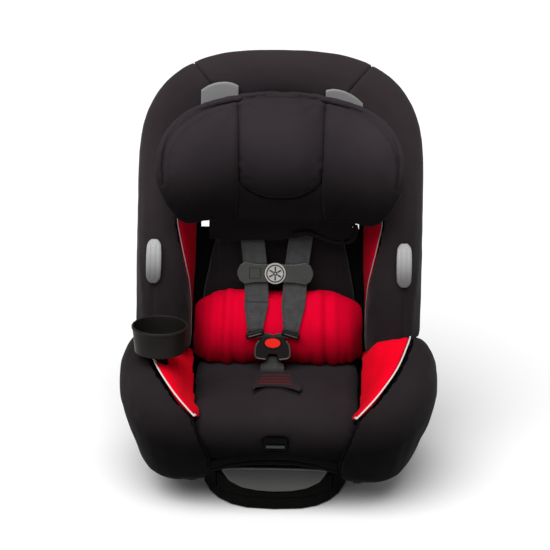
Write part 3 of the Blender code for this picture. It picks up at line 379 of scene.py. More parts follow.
def curve_through(points, count, closed=False):
    """Evenly spaced points along the smooth curve through some."""
    p = np.array([tuple(q) for q in points], float)
    ends = (p[-1:], p[:2]) if closed else (2 * p[:1] - p[1:2], np.concatenate([2 * p[-1:] - p[-2:-1]]))
    p = np.concatenate([ends[0], p, ends[1]])
    fine = []
    for i in range(1, len(p) - 2):
        a, b, c, d = p[i - 1:i + 3]
        for f in np.linspace(0, 1, 12, endpoint=False):
            fine.append(0.5 * (2 * b + (c - a) * f + (2 * a - 5 * b + 4 * c - d) * f**2
                               + (3 * b - a - 3 * c + d) * f**3))
    if not closed:
        fine.append(p[-2])
    fine = np.array(fine)
    along = np.concatenate([[0], np.cumsum(np.linalg.norm(np.diff(fine, axis=0), axis=1))])
    wanted = np.linspace(0, along[-1], count)
    return np.stack([np.interp(wanted, along, fine[:, k]) for k in range(3)], axis=1)


def round_cord(name, points, radius, body, finish, closed=False):
    """A round cord along points, as a bevelled curve made into a mesh."""
    curve = bpy.data.curves.new(name, "CURVE")
    curve.dimensions = "3D"
    curve.bevel_depth = radius
    curve.bevel_resolution = 3
    curve.use_fill_caps = not closed
    line = curve.splines.new("POLY")
    line.points.add(len(points) - 1)
    for point, place in zip(line.points, points):
        point.co = (*place, 1.0)
    line.use_cyclic_u = closed
    guide = link(name + "_line", curve)
    graph = bpy.context.evaluated_depsgraph_get()
    mesh = bpy.data.meshes.new_from_object(guide.evaluated_get(graph))
    bpy.data.objects.remove(guide)
    mesh.shade_smooth()
    cord = placed(link(name, mesh), body, finish)
    return cord


def placed(obj, body, finish):
    obj.data.materials.clear()
    obj.data.materials.append(finish)
    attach(obj, body)
    return obj


def stitches(name, points, body, finish, pitch=0.0036, length=0.0024, radius=0.00042):
    """A row of thread stitches along points, each a short round-ended dash, joined in one mesh."""
    points = np.asarray(points)
    along = np.concatenate([[0], np.cumsum(np.linalg.norm(np.diff(points, axis=0), axis=1))])
    edit = bmesh.new()
    for start in np.arange(0.0, along[-1] - length, pitch):
        a, b = (Vector([np.interp(s, along, points[:, k]) for k in range(3)]) for s in (start, start + length))
        turn = (b - a).to_track_quat("Z", "Y").to_matrix().to_4x4()
        place = Matrix.Translation((a + b) / 2) @ turn @ Matrix.Diagonal((1.0, 1.0, length / (2 * radius), 1.0))
        bmesh.ops.create_icosphere(edit, subdivisions=1, radius=radius, matrix=place)
    mesh = mesh_from(name, edit)
    mesh.shade_smooth()
    return placed(link(name, mesh), body, finish)


# ---- cloth pads

def noise_field(points, scale, seed):
    """Smooth values from -1 to 1 over space: a few waves in fixed random directions."""
    random = np.random.default_rng(seed)
    total = np.zeros(len(points))
    for _ in range(7):
        way = random.normal(size=3)
        way /= np.linalg.norm(way)
        rate = scale * random.uniform(0.6, 1.6)
        total += np.sin(points @ way * rate * 2 * pi + random.uniform(0, 2 * pi))
    return total / 4.0


def groove(obj, line, depth, width, ridge=0.35):
    """Presses a seam into a pad along a line and lets the cloth beside it rise a little."""
    points = points_of(obj.data)
    line = np.asarray(line)
    near = np.full(len(points), np.inf)
    for a, b in zip(line[:-1], line[1:]):
        way = b - a
        share = np.clip(((points - a) @ way) / max(way @ way, 1e-12), 0, 1)
        near = np.minimum(near, np.linalg.norm(points - a - share[:, None] * way, axis=1))
    fall = np.exp(-(near / width) ** 2)
    rise = np.exp(-((near - 2.4 * width) / (1.1 * width)) ** 2)
    set_points(obj.data, points + normals_of(obj.data) * (ridge * rise - fall)[:, None] * depth)


def swell(obj, amount, wrinkle=0.0, scale=24.0, seed=1):
    """Moves the surface out by an amount, with low creases over it."""
    points = points_of(obj.data)
    push = np.full(len(points), amount)
    if wrinkle:
        push += wrinkle * noise_field(points, scale, seed)
    set_points(obj.data, points + normals_of(obj.data) * push[:, None])


CLOTH_FRAMES, CLOTH_PRESSURE = 20, 4.0
STUCK, FREE = 0.004, 0.010      # the heights over the ground up to which cloth is held, and where it is free


def blown(obj, cap, ground):
    """Inflates a pad as cloth. No point moves further than the cap, and its back stays on the ground."""
    before = points_of(obj.data)
    cloth = modifier(obj, "CLOTH")
    settings = cloth.settings
    settings.quality = 4
    settings.mass = 0.3
    settings.tension_stiffness = settings.compression_stiffness = 12.0
    settings.bending_stiffness = 1.2
    settings.use_pressure = True
    settings.uniform_pressure_force = CLOTH_PRESSURE
    settings.effector_weights.gravity = 0.0
    cloth.collision_settings.use_collision = False
    for step in range(1, CLOTH_FRAMES + 1):
        bpy.context.scene.frame_set(step)
    shown = obj.evaluated_get(bpy.context.evaluated_depsgraph_get())
    move = points_of(shown.to_mesh()) - before
    shown.to_mesh_clear()
    obj.modifiers.clear()
    bpy.context.scene.frame_set(1)
    reach = np.linalg.norm(move, axis=1)
    height = np.array([ground.find_nearest(Vector(p))[3] for p in before])
    share = np.minimum(1.0, cap / np.maximum(reach, 1e-9)) * np.clip((height - STUCK) / (FREE - STUCK), 0, 1)
    set_points(obj.data, before + move * share[:, None])


def remeshed(node, name, voxel, rounds):
    """A new object in a CAD node's form, remeshed and with its edges rounded."""
    obj = link(name, mesh_from(name, welded(node)))
    modifier(obj, "REMESH", mode="VOXEL", voxel_size=voxel)
    modifier(obj, "SMOOTH", factor=0.5, iterations=rounds)
    apply_modifiers(obj)
    return obj


def stand_in(obj, node, finish):
    """Shows a piece in the place of a CAD node, on its body."""
    obj.data.shade_smooth()
    placed(obj, NODES[node]["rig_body"], finish)
    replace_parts(obj, node)
    return obj


def pad(node, finish, puff, voxel=0.0034, rounds=8, wrinkle=0.0, seed=1, cap=None, under="shell"):
    """A fabric pad in the place of a CAD node. With a cap, its cloth is blown out by simulation."""
    obj = remeshed(node, node + "_cover", voxel, rounds)
    if cap:
        blown(obj, cap, tree_of(NODES[under]))
        modifier(obj, "SUBSURF", levels=1, render_levels=1)
        apply_modifiers(obj)
    swell(obj, puff, wrinkle, seed=seed)
    stand_in(obj, node, finish)
    return obj


def in_back(points):
    """The (x, t, d) of points: across the back, up its slope, and out from it."""
    spots = points - np.array(tuple(BACK_FOOT))
    return np.stack([spots[:, 0], spots @ np.array(tuple(UP)), spots @ np.array(tuple(OUT))], axis=1)


def ramp(values, start, stop):
    """0 at start and 1 at stop, with a smooth run between."""
    share = np.clip((values - start) / (stop - start), 0, 1)
    return share * share * (3 - 2 * share)


def slid(obj, shift):
    """Moves points by the steps across, up and out from the back that shift gives for their (x, t)."""
    points = points_of(obj.data)
    x, t, _ = in_back(points).T
    steps = np.stack(np.broadcast_arrays(*shift(x, t)), axis=1)
    set_points(obj.data, points + steps @ np.array([tuple(ACROSS), tuple(UP), tuple(OUT)]))


def bulge(obj, middle, reach, height):
    """Fills a pad out round an (x, t) middle, by a height that dies away over an (x, t) reach."""
    def shift(x, t):
        far = ((x - middle[0]) / reach[0]) ** 2 + ((t - middle[1]) / reach[1]) ** 2
        return 0, 0, height * np.clip(1 - far, 0, 1) ** 2
    slid(obj, shift)


def seam_line(node, other, limit=0.010):
    """Points along the outer edge that one pad turns to its neighbour, from one end to the other."""
    edit = welded(node)
    neighbour, ground = tree_of(NODES[other]), tree_of(NODES["shell"])
    kept = []
    for edge in edit.edges:
        if len(edge.link_faces) != 2 or edge.calc_face_angle(0.0) < 0.6:
            continue
        middle = (edge.verts[0].co + edge.verts[1].co) / 2
        if neighbour.find_nearest(middle)[3] > limit:
            continue
        outward = edge.link_faces[0].normal + edge.link_faces[1].normal
        if outward.dot(middle - ground.find_nearest(middle)[0]) > 0:
            kept.append(edge)
    links = {}
    for edge in kept:
        a, b = edge.verts
        links.setdefault(a.index, []).append(b.index)
        links.setdefault(b.index, []).append(a.index)
    edit.verts.ensure_lookup_table()
    best, seen = [], set()
    for start in sorted(links, key=lambda k: len(links[k])):
        if start in seen:
            continue
        chain, here = [start], start
        seen.add(start)
        while True:
            ahead = [k for k in links[here] if k not in seen]
            if not ahead:
                break
            here = ahead[0]
            seen.add(here)
            chain.append(here)
        if len(chain) > len(best):
            best = chain
    line = [edit.verts[k].co.copy() for k in best]
    edit.free()
    return line


def seam_between(node, other, count):
    """The smooth line midway between the edges that two pads turn to each other."""
    a, b = curve_through(seam_line(node, other), count), curve_through(seam_line(other, node), count)
    nearest = np.array([b[np.argmin(np.linalg.norm(b - p, axis=1))] for p in a])
    return (a + nearest) / 2


def cast(points, tree, lift=0.0, way=-OUT):
    """Where lines through the points, along a direction, first meet a surface."""
    found = []
    for p in points:
        spot, normal, _, _ = tree.ray_cast(Vector(p) - way * 0.4, way)
        if spot is not None:
            found.append(tuple(spot + normal * lift))
    return np.array(found)


def back_line(places, count):
    """A smooth line through (x, t) places on the plane of the back."""
    return curve_through([on_back(x, t, 0.0) for x, t in places], count)


STITCH_GAP = 0.0030


def sewn(obj, line, name, depth, width, sides=(1,)):
    """A seam sewn across a pad, seen from the front of the back: a groove, with rows of stitches beside it."""
    groove(obj, cast(line, tree_of(obj)), depth, width)
    tree = tree_of(obj)
    side = np.cross(np.gradient(line, axis=0), np.array(tuple(-OUT)))
    side /= np.linalg.norm(side, axis=1, keepdims=True)
    for sign in sides:
        row = cast(line + side * sign * STITCH_GAP, tree, 0.0001)
        stitches(f"{name}_stitches_{'a' if sign > 0 else 'b'}", row, "seat", THREAD_BLACK)


# ---- stage

def build_stage():
    edit = bmesh.new()
    bmesh.ops.create_circle(edit, cap_ends=True, segments=64, radius=30.0)
    floor = link("floor", mesh_from("floor", edit))
    pale = Finish("pale_floor", (0.86, 0.86, 0.86), 0.75, Specular_IOR_Level=0.1)
    pale.tint(pale.noise(0.6), 0.995, 1.005)
    floor.data.materials.append(pale.material)
    world = bpy.data.worlds.new("studio")
    world.use_nodes = True
    world.node_tree.nodes["Background"].inputs["Color"].default_value = (1.0, 1.0, 1.0, 1.0)
    world.node_tree.nodes["Background"].inputs["Strength"].default_value = WORLD_LIGHT
    bpy.context.scene.world = world
    lamp = bpy.data.lights.new("soft_sun", "SUN")
    lamp.angle, lamp.energy = SUN_SPREAD, SUN_ENERGY
    light = bpy.data.objects.new("soft_sun", lamp)
    light.rotation_euler = Vector(SUN_TOWARD).to_track_quat("Z", "Y").to_euler()
    bpy.context.scene.collection.objects.link(light)


def build_camera():
    a, e, r = CAMERA_AZIMUTH, CAMERA_ELEVATION, CAMERA_ROLL
    toward = Vector((sin(a) * cos(e), -cos(a) * cos(e), sin(e)))
    level = Vector((cos(a), sin(a), 0.0))
    upright = toward.cross(level)
    across, up = level * cos(r) + upright * sin(r), upright * cos(r) - level * sin(r)
    data = bpy.data.cameras.new("camera")
    data.lens = CAMERA_LENS
    data.sensor_width = 36.0
    data.shift_x, data.shift_y = CAMERA_SHIFT
    camera = bpy.data.objects.new("camera", data)
    turned = Matrix((across, up, toward)).transposed().to_4x4()
    camera.matrix_world = Matrix.Translation(CAMERA_TARGET + toward * CAMERA_DISTANCE) @ turned
    bpy.context.scene.collection.objects.link(camera)
    bpy.context.scene.camera = camera
    bpy.context.scene.view_settings.view_transform = "Standard"


# ---- hard parts

def polish(finish, *nodes, edge=0.0007, segments=2):
    """A better finish on CAD parts, and their edges eased so that they catch the light."""
    for name in nodes:
        obj = NODES[name]
        obj.data.materials.clear()
        obj.data.materials.append(finish)
        if edge:
            modifier(obj, "WELD", merge_threshold=0.00001)
            modifier(obj, "BEVEL", width=edge, segments=segments, limit_method="ANGLE", angle_limit=radians(32))
            modifier(obj, "WEIGHTED_NORMAL", weight=50, keep_sharp=True)


def eased(node, finish, voxel, rounds):
    """A moulded part in the place of a CAD node, with its facets and corners smoothed away."""
    obj = remeshed(node, node + "_moulding", voxel, rounds)
    swell(obj, 0.0002)
    return stand_in(obj, node, finish)


def lathe(name, profile, centre, body, finish, segments=96):
    """A turned form: (radius, height) pairs swept once round a centre."""
    turns = [2 * pi * k / segments for k in range(segments)]
    mesh = tube(name, [[(centre[0] + radius * cos(a), centre[1] + radius * sin(a), centre[2] + height)
                        for a in turns] for radius, height in profile])
    mesh.shade_smooth()
    return placed(link(name, mesh), body, finish)


def rounded_profile(corners, radius=0.0009, steps=4):
    """An open profile with each inner corner rounded off."""
    made = [corners[0]]
    for a, b, c in zip(corners[:-2], corners[1:-1], corners[2:]):
        a, b, c = (np.array(p, float) for p in (a, b, c))
        reach = min(radius, np.linalg.norm(a - b) / 2.2, np.linalg.norm(c - b) / 2.2)
        first, last = b + (a - b) / np.linalg.norm(a - b) * reach, b + (c - b) / np.linalg.norm(c - b) * reach
        for f in np.linspace(0, 1, steps):
            made.append(tuple((1 - f) ** 2 * first + 2 * f * (1 - f) * b + f * f * last))
    made.append(corners[-1])
    return made


# ---- harness

# The shoulder straps at heights t up the back: half their spacing, its middle, and how far they stand out.
STRAP_HALF = ((0.048, 0.06, 0.10, 0.145, 0.18, 0.215), (0.0285, 0.0290, 0.0300, 0.0330, 0.0375, 0.0425))
STRAP_MIDDLE = ((0.048, 0.10), (-0.0078, -0.005))
STRAP_DEPTH = ((0.048, 0.060, 0.080, 0.100, 0.112, 0.118, 0.152, 0.175, 0.195, 0.222),
               (0.0592, 0.0560, 0.0490, 0.0385, 0.0325, 0.031, 0.031, 0.0225, 0.0165, 0.0125))
# Half of a strap's face from its middle out: shares of the half width, and heights in thicknesses.
WEB_FACE = ((0.0, 0.06), (0.3, 0.05), (0.64, 0.02), (0.68, -0.12), (0.72, 0.02), (0.90, 0.02), (0.93, 0.22),
            (0.985, 0.1), (1.0, -0.5))
WEB_THICK = 0.0015


def strap_point(sign, t):
    half, middle, depth = (np.interp(t, *shape) for shape in (STRAP_HALF, STRAP_MIDDLE, STRAP_DEPTH))
    return on_back(middle + sign * half, t, depth)


def webbing(name, path, faces_out, wide):
    """Woven strap along a path: a flat ribbon with thicker selvages and two faint lengthwise channels."""
    path = np.array([tuple(p) for p in path])
    wide = np.broadcast_to(wide, (len(path),))
    along = np.gradient(path, axis=0)
    along /= np.linalg.norm(along, axis=1, keepdims=True)
    side = np.cross(along, np.broadcast_to(np.array(tuple(faces_out)), path.shape))
    side /= np.linalg.norm(side, axis=1, keepdims=True)
    face = np.cross(side, along)
    section = [(-a, h) for a, h in WEB_FACE[:0:-1]] + list(WEB_FACE)
    section += [(a, -1.0 - (0.4 * h if abs(a) > 0.8 else 0)) for a, h in section[-2:0:-1]]
    mesh = tube(name, [[p + s * a * w / 2 + f * h * WEB_THICK for a, h in section]
                       for p, w, s, f in zip(path, wide, side, face)])
    mesh.shade_smooth()
    mesh.materials.append(WEB)
    return link(name, mesh)


def shoulder_strap(run, sign, low, high, count):
    """A run of a shoulder strap, narrower towards its tongue."""
    heights = np.linspace(low, high, count)
    wide = np.interp(heights, (0.05, 0.085), (0.026, 0.038))
    return webbing(f"shoulder_strap_{run}_web", [strap_point(sign, t) for t in heights], OUT, wide)


def build_shoulder_straps():
    foot, split, clip, top = 0.0455, 0.0895, 0.135, 0.222      # the runs' ends, up the back
    gap = 0.001
    right_low = shoulder_strap("right_lower", 1, foot, clip - gap, 40)
    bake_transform(right_low)
    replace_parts(right_low, "shoulder_strap_right_lower")
    right_high = shoulder_strap("right_upper", 1, clip + gap, top, 30)
    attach(right_high, "seat")
    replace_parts(right_high, "shoulder_strap_right_upper", "shoulder_strap_right_middle")
    left_high = shoulder_strap("left_upper", -1, clip + gap, top, 30)
    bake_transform(left_high)
    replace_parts(left_high, "shoulder_strap_left_upper", "shoulder_strap_left_middle")
    left_mid = shoulder_strap("left_run", -1, split, clip - gap, 20)
    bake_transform(left_mid)
    left_low = shoulder_strap("left_lower", -1, foot, split, 20)
    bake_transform(left_low)
    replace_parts(left_low, "shoulder_strap_left_lower")


def build_other_straps():
    """The crotch strap, which narrows into the buckle, and the adjuster strap behind the back."""
    path = [(BUCKLE.x, -0.050, 0.1235), (BUCKLE.x, -0.050, 0.142), (BUCKLE.x, -0.0495, 0.150)]
    path += [BUCKLE - BUCKLE_UP * below + BUCKLE_OUT * proud
             for below, proud in ((0.0255, 0.0035), (0.0200, 0.0025), (0.0130, 0.0010))]
    wide = np.interp(np.linspace(0, 1, 24), (0, 0.62, 0.75, 0.86, 1), (0.038, 0.038, 0.035, 0.016, 0.015))
    crotch = webbing("crotch_strap_web", curve_through(path, 24), (0.0, -1.0, 0.1), wide)
    down_back = [on_back(0, t, -0.0254) for t in np.linspace(0.116, 0.02, 16)]
    adjuster = webbing("adjuster_strap_web", down_back, OUT, 0.038)
    for piece, node in ((crotch, "crotch_strap"), (adjuster, "adjuster_strap")):
        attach(piece, "seat")
        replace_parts(piece, node)


# ---- headrest

HEAD_T, HEAD_HALF, HEAD_RISE, HEAD_DROP = 0.305, 0.1935, 0.122, 0.088


def head_outline(turn):
    """A place (x, t) on the headrest's outline, at a turn from its right side anticlockwise."""
    x = HEAD_HALF * np.sign(cos(turn)) * abs(cos(turn)) ** 0.85
    share = min(abs(x) / HEAD_HALF, 1.0)
    reach, power = (HEAD_RISE, 2.2) if sin(turn) >= 0 else (-HEAD_DROP, 3.0)
    return x, HEAD_T + reach * max(1 - share ** power, 0) ** (1 / power)


def outline_inside(inset, past, count):
    """The outline drawn in by a distance, as (x, t) places: over the top, and past each side by an angle."""
    places = np.array([head_outline(a) for a in np.linspace(-past, pi + past, count * 3)])
    along = np.gradient(places, axis=0)
    along /= np.linalg.norm(along, axis=1, keepdims=True)
    inner = places + np.stack([-along[:, 1], along[:, 0]], axis=1) * inset
    return inner[::3]


def head_depth(x, t):
    """How far the headrest's face stands out from the back."""
    wide = np.clip((abs(x) - 0.055) / (HEAD_HALF - 0.055), 0, 1)
    height = np.clip((t - 0.215) / 0.21, 0, 1)
    return 0.088 + 0.078 * (1 - 0.55 * height ** 1.6) * wide ** 1.25 - 0.012 * height ** 3 * (1 - wide)


def build_head_pads():
    """The wings and the centre pad, full in their middles. The wings' lower lobes hang a little."""
    wings = [pad(f"headrest_wing_{side}", CLOTH_FINE, 0.0006, 0.0046, wrinkle=0.0004, seed=seed,
                 cap=0.006, under="headrest_shell") for side, seed in (("left", 3), ("right", 4))]
    centre = pad("headrest_centre_pad", CLOTH_FINE, 0.0004, 0.0042, wrinkle=0.0002, seed=5,
                 cap=0.005, under="headrest_shell")
    for wing, sign in zip(wings, (-1, 1)):
        bulge(wing, (sign * 0.126, 0.338), (0.085, 0.098), 0.012)
        slid(wing, lambda x, t: (0, -0.017 * ramp(-t, -0.285, -0.228)
                                 * np.exp(-((abs(x) - 0.152) / 0.032) ** 2), 0))
    bulge(centre, (0.0, 0.345), (0.078, 0.100), 0.010)
    return wings, centre


def build_head_bib():
    """The flap that hangs below the headrest, with its rolled lower edge."""
    bib = pad("headrest_bib", CLOTH_BIB_SHADED, 0.0006, 0.0020, 5, wrinkle=0.0003)
    slid(bib, lambda x, t: (0, 0.023 * ramp(t, 0.200, 0.2165)
                            * (0.45 + 0.55 * ramp(-abs(x - 0.004), -0.1165, -0.1070)),
                            -0.004 * ramp(t, 0.200, 0.2165)))


def build_head_rim(pads):
    """The rolled rim over the headrest's edge, its ends sunk into the pads, and the seam inside it."""
    guess = [on_back(x, t, head_depth(x, t) - 0.006) for x, t in outline_inside(0.0052, radians(14), 130)]
    trees = [tree_of(piece) for piece in pads]
    path = []
    sink = 0.0006 + 0.0046 * ramp(abs(np.linspace(-1, 1, len(guess))), 0.80, 1.0)
    for p, deep in zip(guess, sink):
        hits = [tree.find_nearest(p) for tree in trees]
        spot, normal = min(hits, key=lambda h: h[3])[:2]
        path.append(spot - normal * deep)
    rim = round_cord("headrest_rim", curve_through(path, 420), 0.0046, "headrest", CLOTH_FINE)
    swell(rim, 0.0, 0.00045, 75.0, 31)
    seam = back_line(outline_inside(0.0110, radians(10), 120), 240)
    for piece in pads:
        hit = cast(seam, tree_of(piece))
        if len(hit) > 4:
            groove(piece, hit, 0.0036, 0.0032, 0.4)


def build_bib_roll():
    edge = (
        (0.022, 0.1975, 0.0405), (0.0418, 0.2010, 0.0425), (0.0611, 0.1955, 0.0385), (0.0804, 0.1880, 0.0345),
        (0.1029, 0.1852, 0.0330), (0.1165, 0.1905, 0.0350), (0.1225, 0.2040, 0.0420), (0.1215, 0.2150, 0.0480))
    roll = round_cord("headrest_bib_roll", curve_through([on_back(*p) for p in edge], 90), 0.0026, "headrest",
                      CLOTH_BIB_SHADED)
    swell(roll, 0.0, 0.0003, 60.0, 32)


def build_head_stitching(centre):
    """A U-shaped seam low on the centre pad, and the rows of stitches that run up from its ends."""
    half = ((0.0665, 0.300), (0.0655, 0.285), (0.054, 0.270), (0.025, 0.2575))
    u_line = back_line([*((-x, t) for x, t in half), (0.0, 0.2555), *half[::-1]], 90)
    groove(centre, cast(u_line, tree_of(centre)), 0.0026, 0.0040, 0.5)
    tree = tree_of(centre)
    above = u_line + np.array(tuple(UP)) * 0.0042
    stitches("headrest_u_stitches", cast(above, tree, 0.0002), "headrest", THREAD_BLACK)
    for side, sign in (("left", -1), ("right", 1)):
        run = back_line([(sign * 0.0638, t) for t in (0.300, 0.34, 0.38, 0.412)], 60)
        stitches(f"headrest_stitches_{side}", cast(run, tree, 0.0002), "headrest", THREAD_BLACK)


def build_headrest():
    wings, centre = build_head_pads()
    pad("headrest_lower_pad", CLOTH_FINE, 0.0010, wrinkle=0.0003)
    build_head_bib()
    build_head_rim((*wings, centre))
    build_bib_roll()
    build_head_stitching(centre)


# ---- seat

def build_back():
    for side, sign, seed in (("left", -1, 11), ("right", 1, 12)):
        wing = pad(f"torso_wing_{side}", CLOTH, 0.0010, 0.0036, wrinkle=0.0003, seed=seed)
        slid(wing, lambda x, t: (0, -0.017 * ramp(-t, -0.080, -0.045), 0))
        pad(f"torso_insert_{side}", RED_TORSO_SHADED, 0.0006)
        seam = back_line([(sign * 0.1972, t) for t in (0.120, 0.09, 0.06, 0.030)], 60)
        sewn(wing, seam, f"wing_{side}_seam", 0.0022, 0.0032, (-1, 1))
    pad("top_band", CLOTH, 0.0014, 0.0036, wrinkle=0.0003, seed=13)
    back = pad("back_pad", MESH, 0.0004, 0.0036, 6)
    for name, x in (("left", -0.102), ("right", 0.093)):
        channel = back_line([(x, t) for t in (0.03, 0.08, 0.13, 0.185)], 60)
        sewn(back, channel, f"back_{name}_channel", 0.0020, 0.0034)


def build_thighs():
    """The bolsters, drawn down at the front, and their red inserts, domed and unlike each other."""
    for side, sign, seed in (("left", -1, 14), ("right", 1, 15)):
        bolster = pad(f"thigh_bolster_{side}", CLOTH_SEAT_SHADED, 0.0004, 0.0048, wrinkle=0.0004, seed=seed,
                      cap=0.003)
        points = points_of(bolster.data)
        if sign < 0:
            points[:, 0] += 0.0055 * ramp(-points[:, 0], 0.190, 0.245)
        points[:, 2] -= 0.011 * ramp(-points[:, 2], -0.095, -0.055)
        set_points(bolster.data, points)
        insert = pad(f"thigh_insert_{side}", RED, 0.0008, wrinkle=0.0002, seed=seed + 4)
        points = points_of(insert.data)
        crown, height, inward = (0.120, 0.015, 0.009) if sign < 0 else (0.147, 0.028, 0.0)
        far = ((abs(points[:, 0]) - crown) / (0.2 * crown)) ** 2 + ((points[:, 1] + 0.078) / 0.062) ** 2
        inner = ramp(-abs(points[:, 0]), -0.140, -0.115) * ramp(points[:, 1], -0.238, -0.205)
        points[:, 2] += height * np.exp(-far) + (0.003 * inner if sign < 0 else 0.0)
        points[:, 0] += inward * inner
        set_points(insert.data, points)


def build_pillow():
    """The lumbar pillow: three sewn channels, with its cloth gathered along the lower edge."""
    pillow = pad("lumbar_pillow", RED_PILLOW, 0.0002, 0.0044, 6, wrinkle=0.0004, seed=21, cap=0.007)
    for x, depth in ((-0.0915, 0.0036), (-0.0673, 0.0026), (0.0765, 0.0036)):
        line = back_line([(x, -0.014), (x * 0.99, 0.03), (x * 0.98, 0.07), (x * 0.97, 0.104)], 60)
        groove(pillow, cast(line, tree_of(pillow)), depth, 0.0052, 0.5)
    points = points_of(pillow.data)
    x, t, _ = in_back(points).T
    folds = np.sin(x * 2 * pi / 0.019 + 1.3 * np.sin(x * 60)) + 0.6 * np.sin(x * 2 * pi / 0.011)
    gather = folds * ramp(-t, -0.020, 0.012)
    points = points + normals_of(pillow.data) * (gather * 0.0009)[:, None]
    points[:, 0] *= 1.035
    set_points(pillow.data, points)


def build_cushion():
    """The seat cushion, wider at its front, with two hems round its nose."""
    cushion = pad("seat_cushion", CLOTH_CUSHION, 0.0002, 0.0046, 6, wrinkle=0.0003, seed=22,
                  cap=0.005)
    points = points_of(cushion.data)
    front = ramp(-points[:, 1], 0.185, 0.235) * ramp(-points[:, 2], -0.150, -0.125)
    points[:, 0] *= 1.035 + 0.080 * front
    set_points(cushion.data, points)
    build_flap(cushion)
    for name, middle, ends, y in (("upper", 0.0955, 0.0790, -0.2612), ("lower", 0.0868, 0.0725, -0.2596)):
        arc = [(x, y + 0.003 * (abs(x) / 0.092) ** 3, middle - (middle - ends) * (abs(x) / 0.092) ** 2.2)
               for x in np.linspace(-0.094, 0.094, 13)]
        hem = round_cord(f"cushion_hem_{name}", curve_through(arc, 160), 0.0044, "seat", CLOTH_CUSHION)
        swell(hem, 0.0, 0.0005, 45.0, 33)


# The flap over the crotch strap's slot: its outline from above, and shares of it at which its rings lie.
FLAP = ((-0.0345, -0.0990), (-0.0290, -0.0700), (-0.0031, -0.0610), (0.0215, -0.0640), (0.0325, -0.0920),
        (0.0392, -0.1230), (0.0362, -0.1500), (0.0244, -0.1390), (0.0087, -0.1250), (-0.0069, -0.1235),
        (-0.0192, -0.1260), (-0.0305, -0.1375), (-0.0352, -0.1480), (-0.0370, -0.1260))
FLAP_RINGS = (1.0, 0.97, 0.85, 0.6, 0.3, 0.05)
FLAP_ROWS = ((-0.0800, -0.0235, 0.0225), (-0.0930, -0.0250, 0.0245), (-0.1050, -0.0265, 0.0260),
             (-0.1165, -0.0280, 0.0275))
ABOVE = 0.3     # a height over the cushion, from which lines are dropped on it


def build_flap(cushion):
    """The stitched flap over the slot of the crotch strap: its front edge stands a little off the cushion."""
    tree = tree_of(cushion)
    edge = curve_through([(x, y, ABOVE) for x, y in FLAP], 84, True)[:-1]
    middle = np.array([0.001, -0.105, ABOVE])
    made = bmesh.new()
    rows = []
    for share in FLAP_RINGS:
        ring = middle + (edge - middle) * share
        spots = cast(ring, tree, way=DOWN)
        front = ramp(-ring[:, 1], 0.105, 0.150)
        lift = (0.0004 if share == 1.0 else 0.0028) + 0.0062 * front * ramp(share, 0.3, 1.0)
        rows.append([made.verts.new((x, y, z + h)) for (x, y, z), h in zip(spots, lift)])
    bridge(made, rows)
    made.faces.new(rows[-1])
    under = [made.verts.new(tuple(v.co - Vector((0, 0, 0.0016)))) for v in rows[0]]
    for k in range(len(under)):
        n = (k + 1) % len(under)
        made.faces.new((rows[0][n], rows[0][k], under[k], under[n]))
    made.faces.new(under[::-1])
    bmesh.ops.recalc_face_normals(made, faces=made.faces)
    flap = link("cushion_flap", mesh_from("cushion_flap", made))
    flap.data.shade_smooth()
    placed(flap, "seat", CLOTH_CUSHION)
    tree = tree_of(flap)
    for k, (y, low, high) in enumerate(FLAP_ROWS):
        row = [(x, y + 0.0035 * (1 - (x / 0.028) ** 2), ABOVE) for x in np.linspace(low, high, 40)]
        stitches(f"flap_stitches_{k}", cast(row, tree, 0.0003, DOWN), "seat", THREAD_RED,
                 pitch=0.0034, length=0.0028, radius=0.0008)
    slot = curve_through([(x, y - 0.004, ABOVE) for x, y in FLAP[6:13]], 60)
    round_cord("cushion_slot_lip", cast(slot, tree_of(cushion), 0.0002, DOWN), 0.0018, "seat", CLOTH_SEAT_SHADED)


def build_piping():
    for side in ("left", "right"):
        node = f"piping_{side}"
        line = seam_between(f"thigh_insert_{side}", f"thigh_bolster_{side}", 160)
        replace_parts(round_cord(node + "_cord", line, 0.0013, "seat", WHITE), node)
        line = seam_between(f"torso_insert_{side}", f"torso_wing_{side}", 200)
        round_cord(f"torso_piping_{side}", line, 0.0008, "seat", WHITE_BACK_SHADED)


def build_cup():
    cup = lathe("cup_holder_bowl", rounded_profile([
        (0.0002, 0.0), (0.0365, 0.0), (0.0385, 0.0015), (0.0405, 0.0265), (0.0420, 0.0380), (0.0432, 0.0390),
        (0.0432, 0.0415), (0.0412, 0.0430), (0.0395, 0.0420), (0.0378, 0.0265), (0.0360, 0.0050),
        (0.0340, 0.0032), (0.0002, 0.0032)]), (-0.179, -0.146, 0.2170), "cup_holder", CUP)
    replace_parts(cup, "cup_holder")


def disc_frame(centre, up):
    """Turns three distances into a place: across, up and out from a centre."""
    out = ACROSS.cross(up)
    return lambda a, b, c: centre + ACROSS * a + up * b + out * c


def circle(at, radius, out, count, rise=0.0, squash=1.0):
    """Points round a circle or ellipse, in a disc frame."""
    turns = np.linspace(0, 2 * pi, count + 1)[:-1]
    return [at(radius * cos(a), rise + squash * radius * sin(a), out) for a in turns]


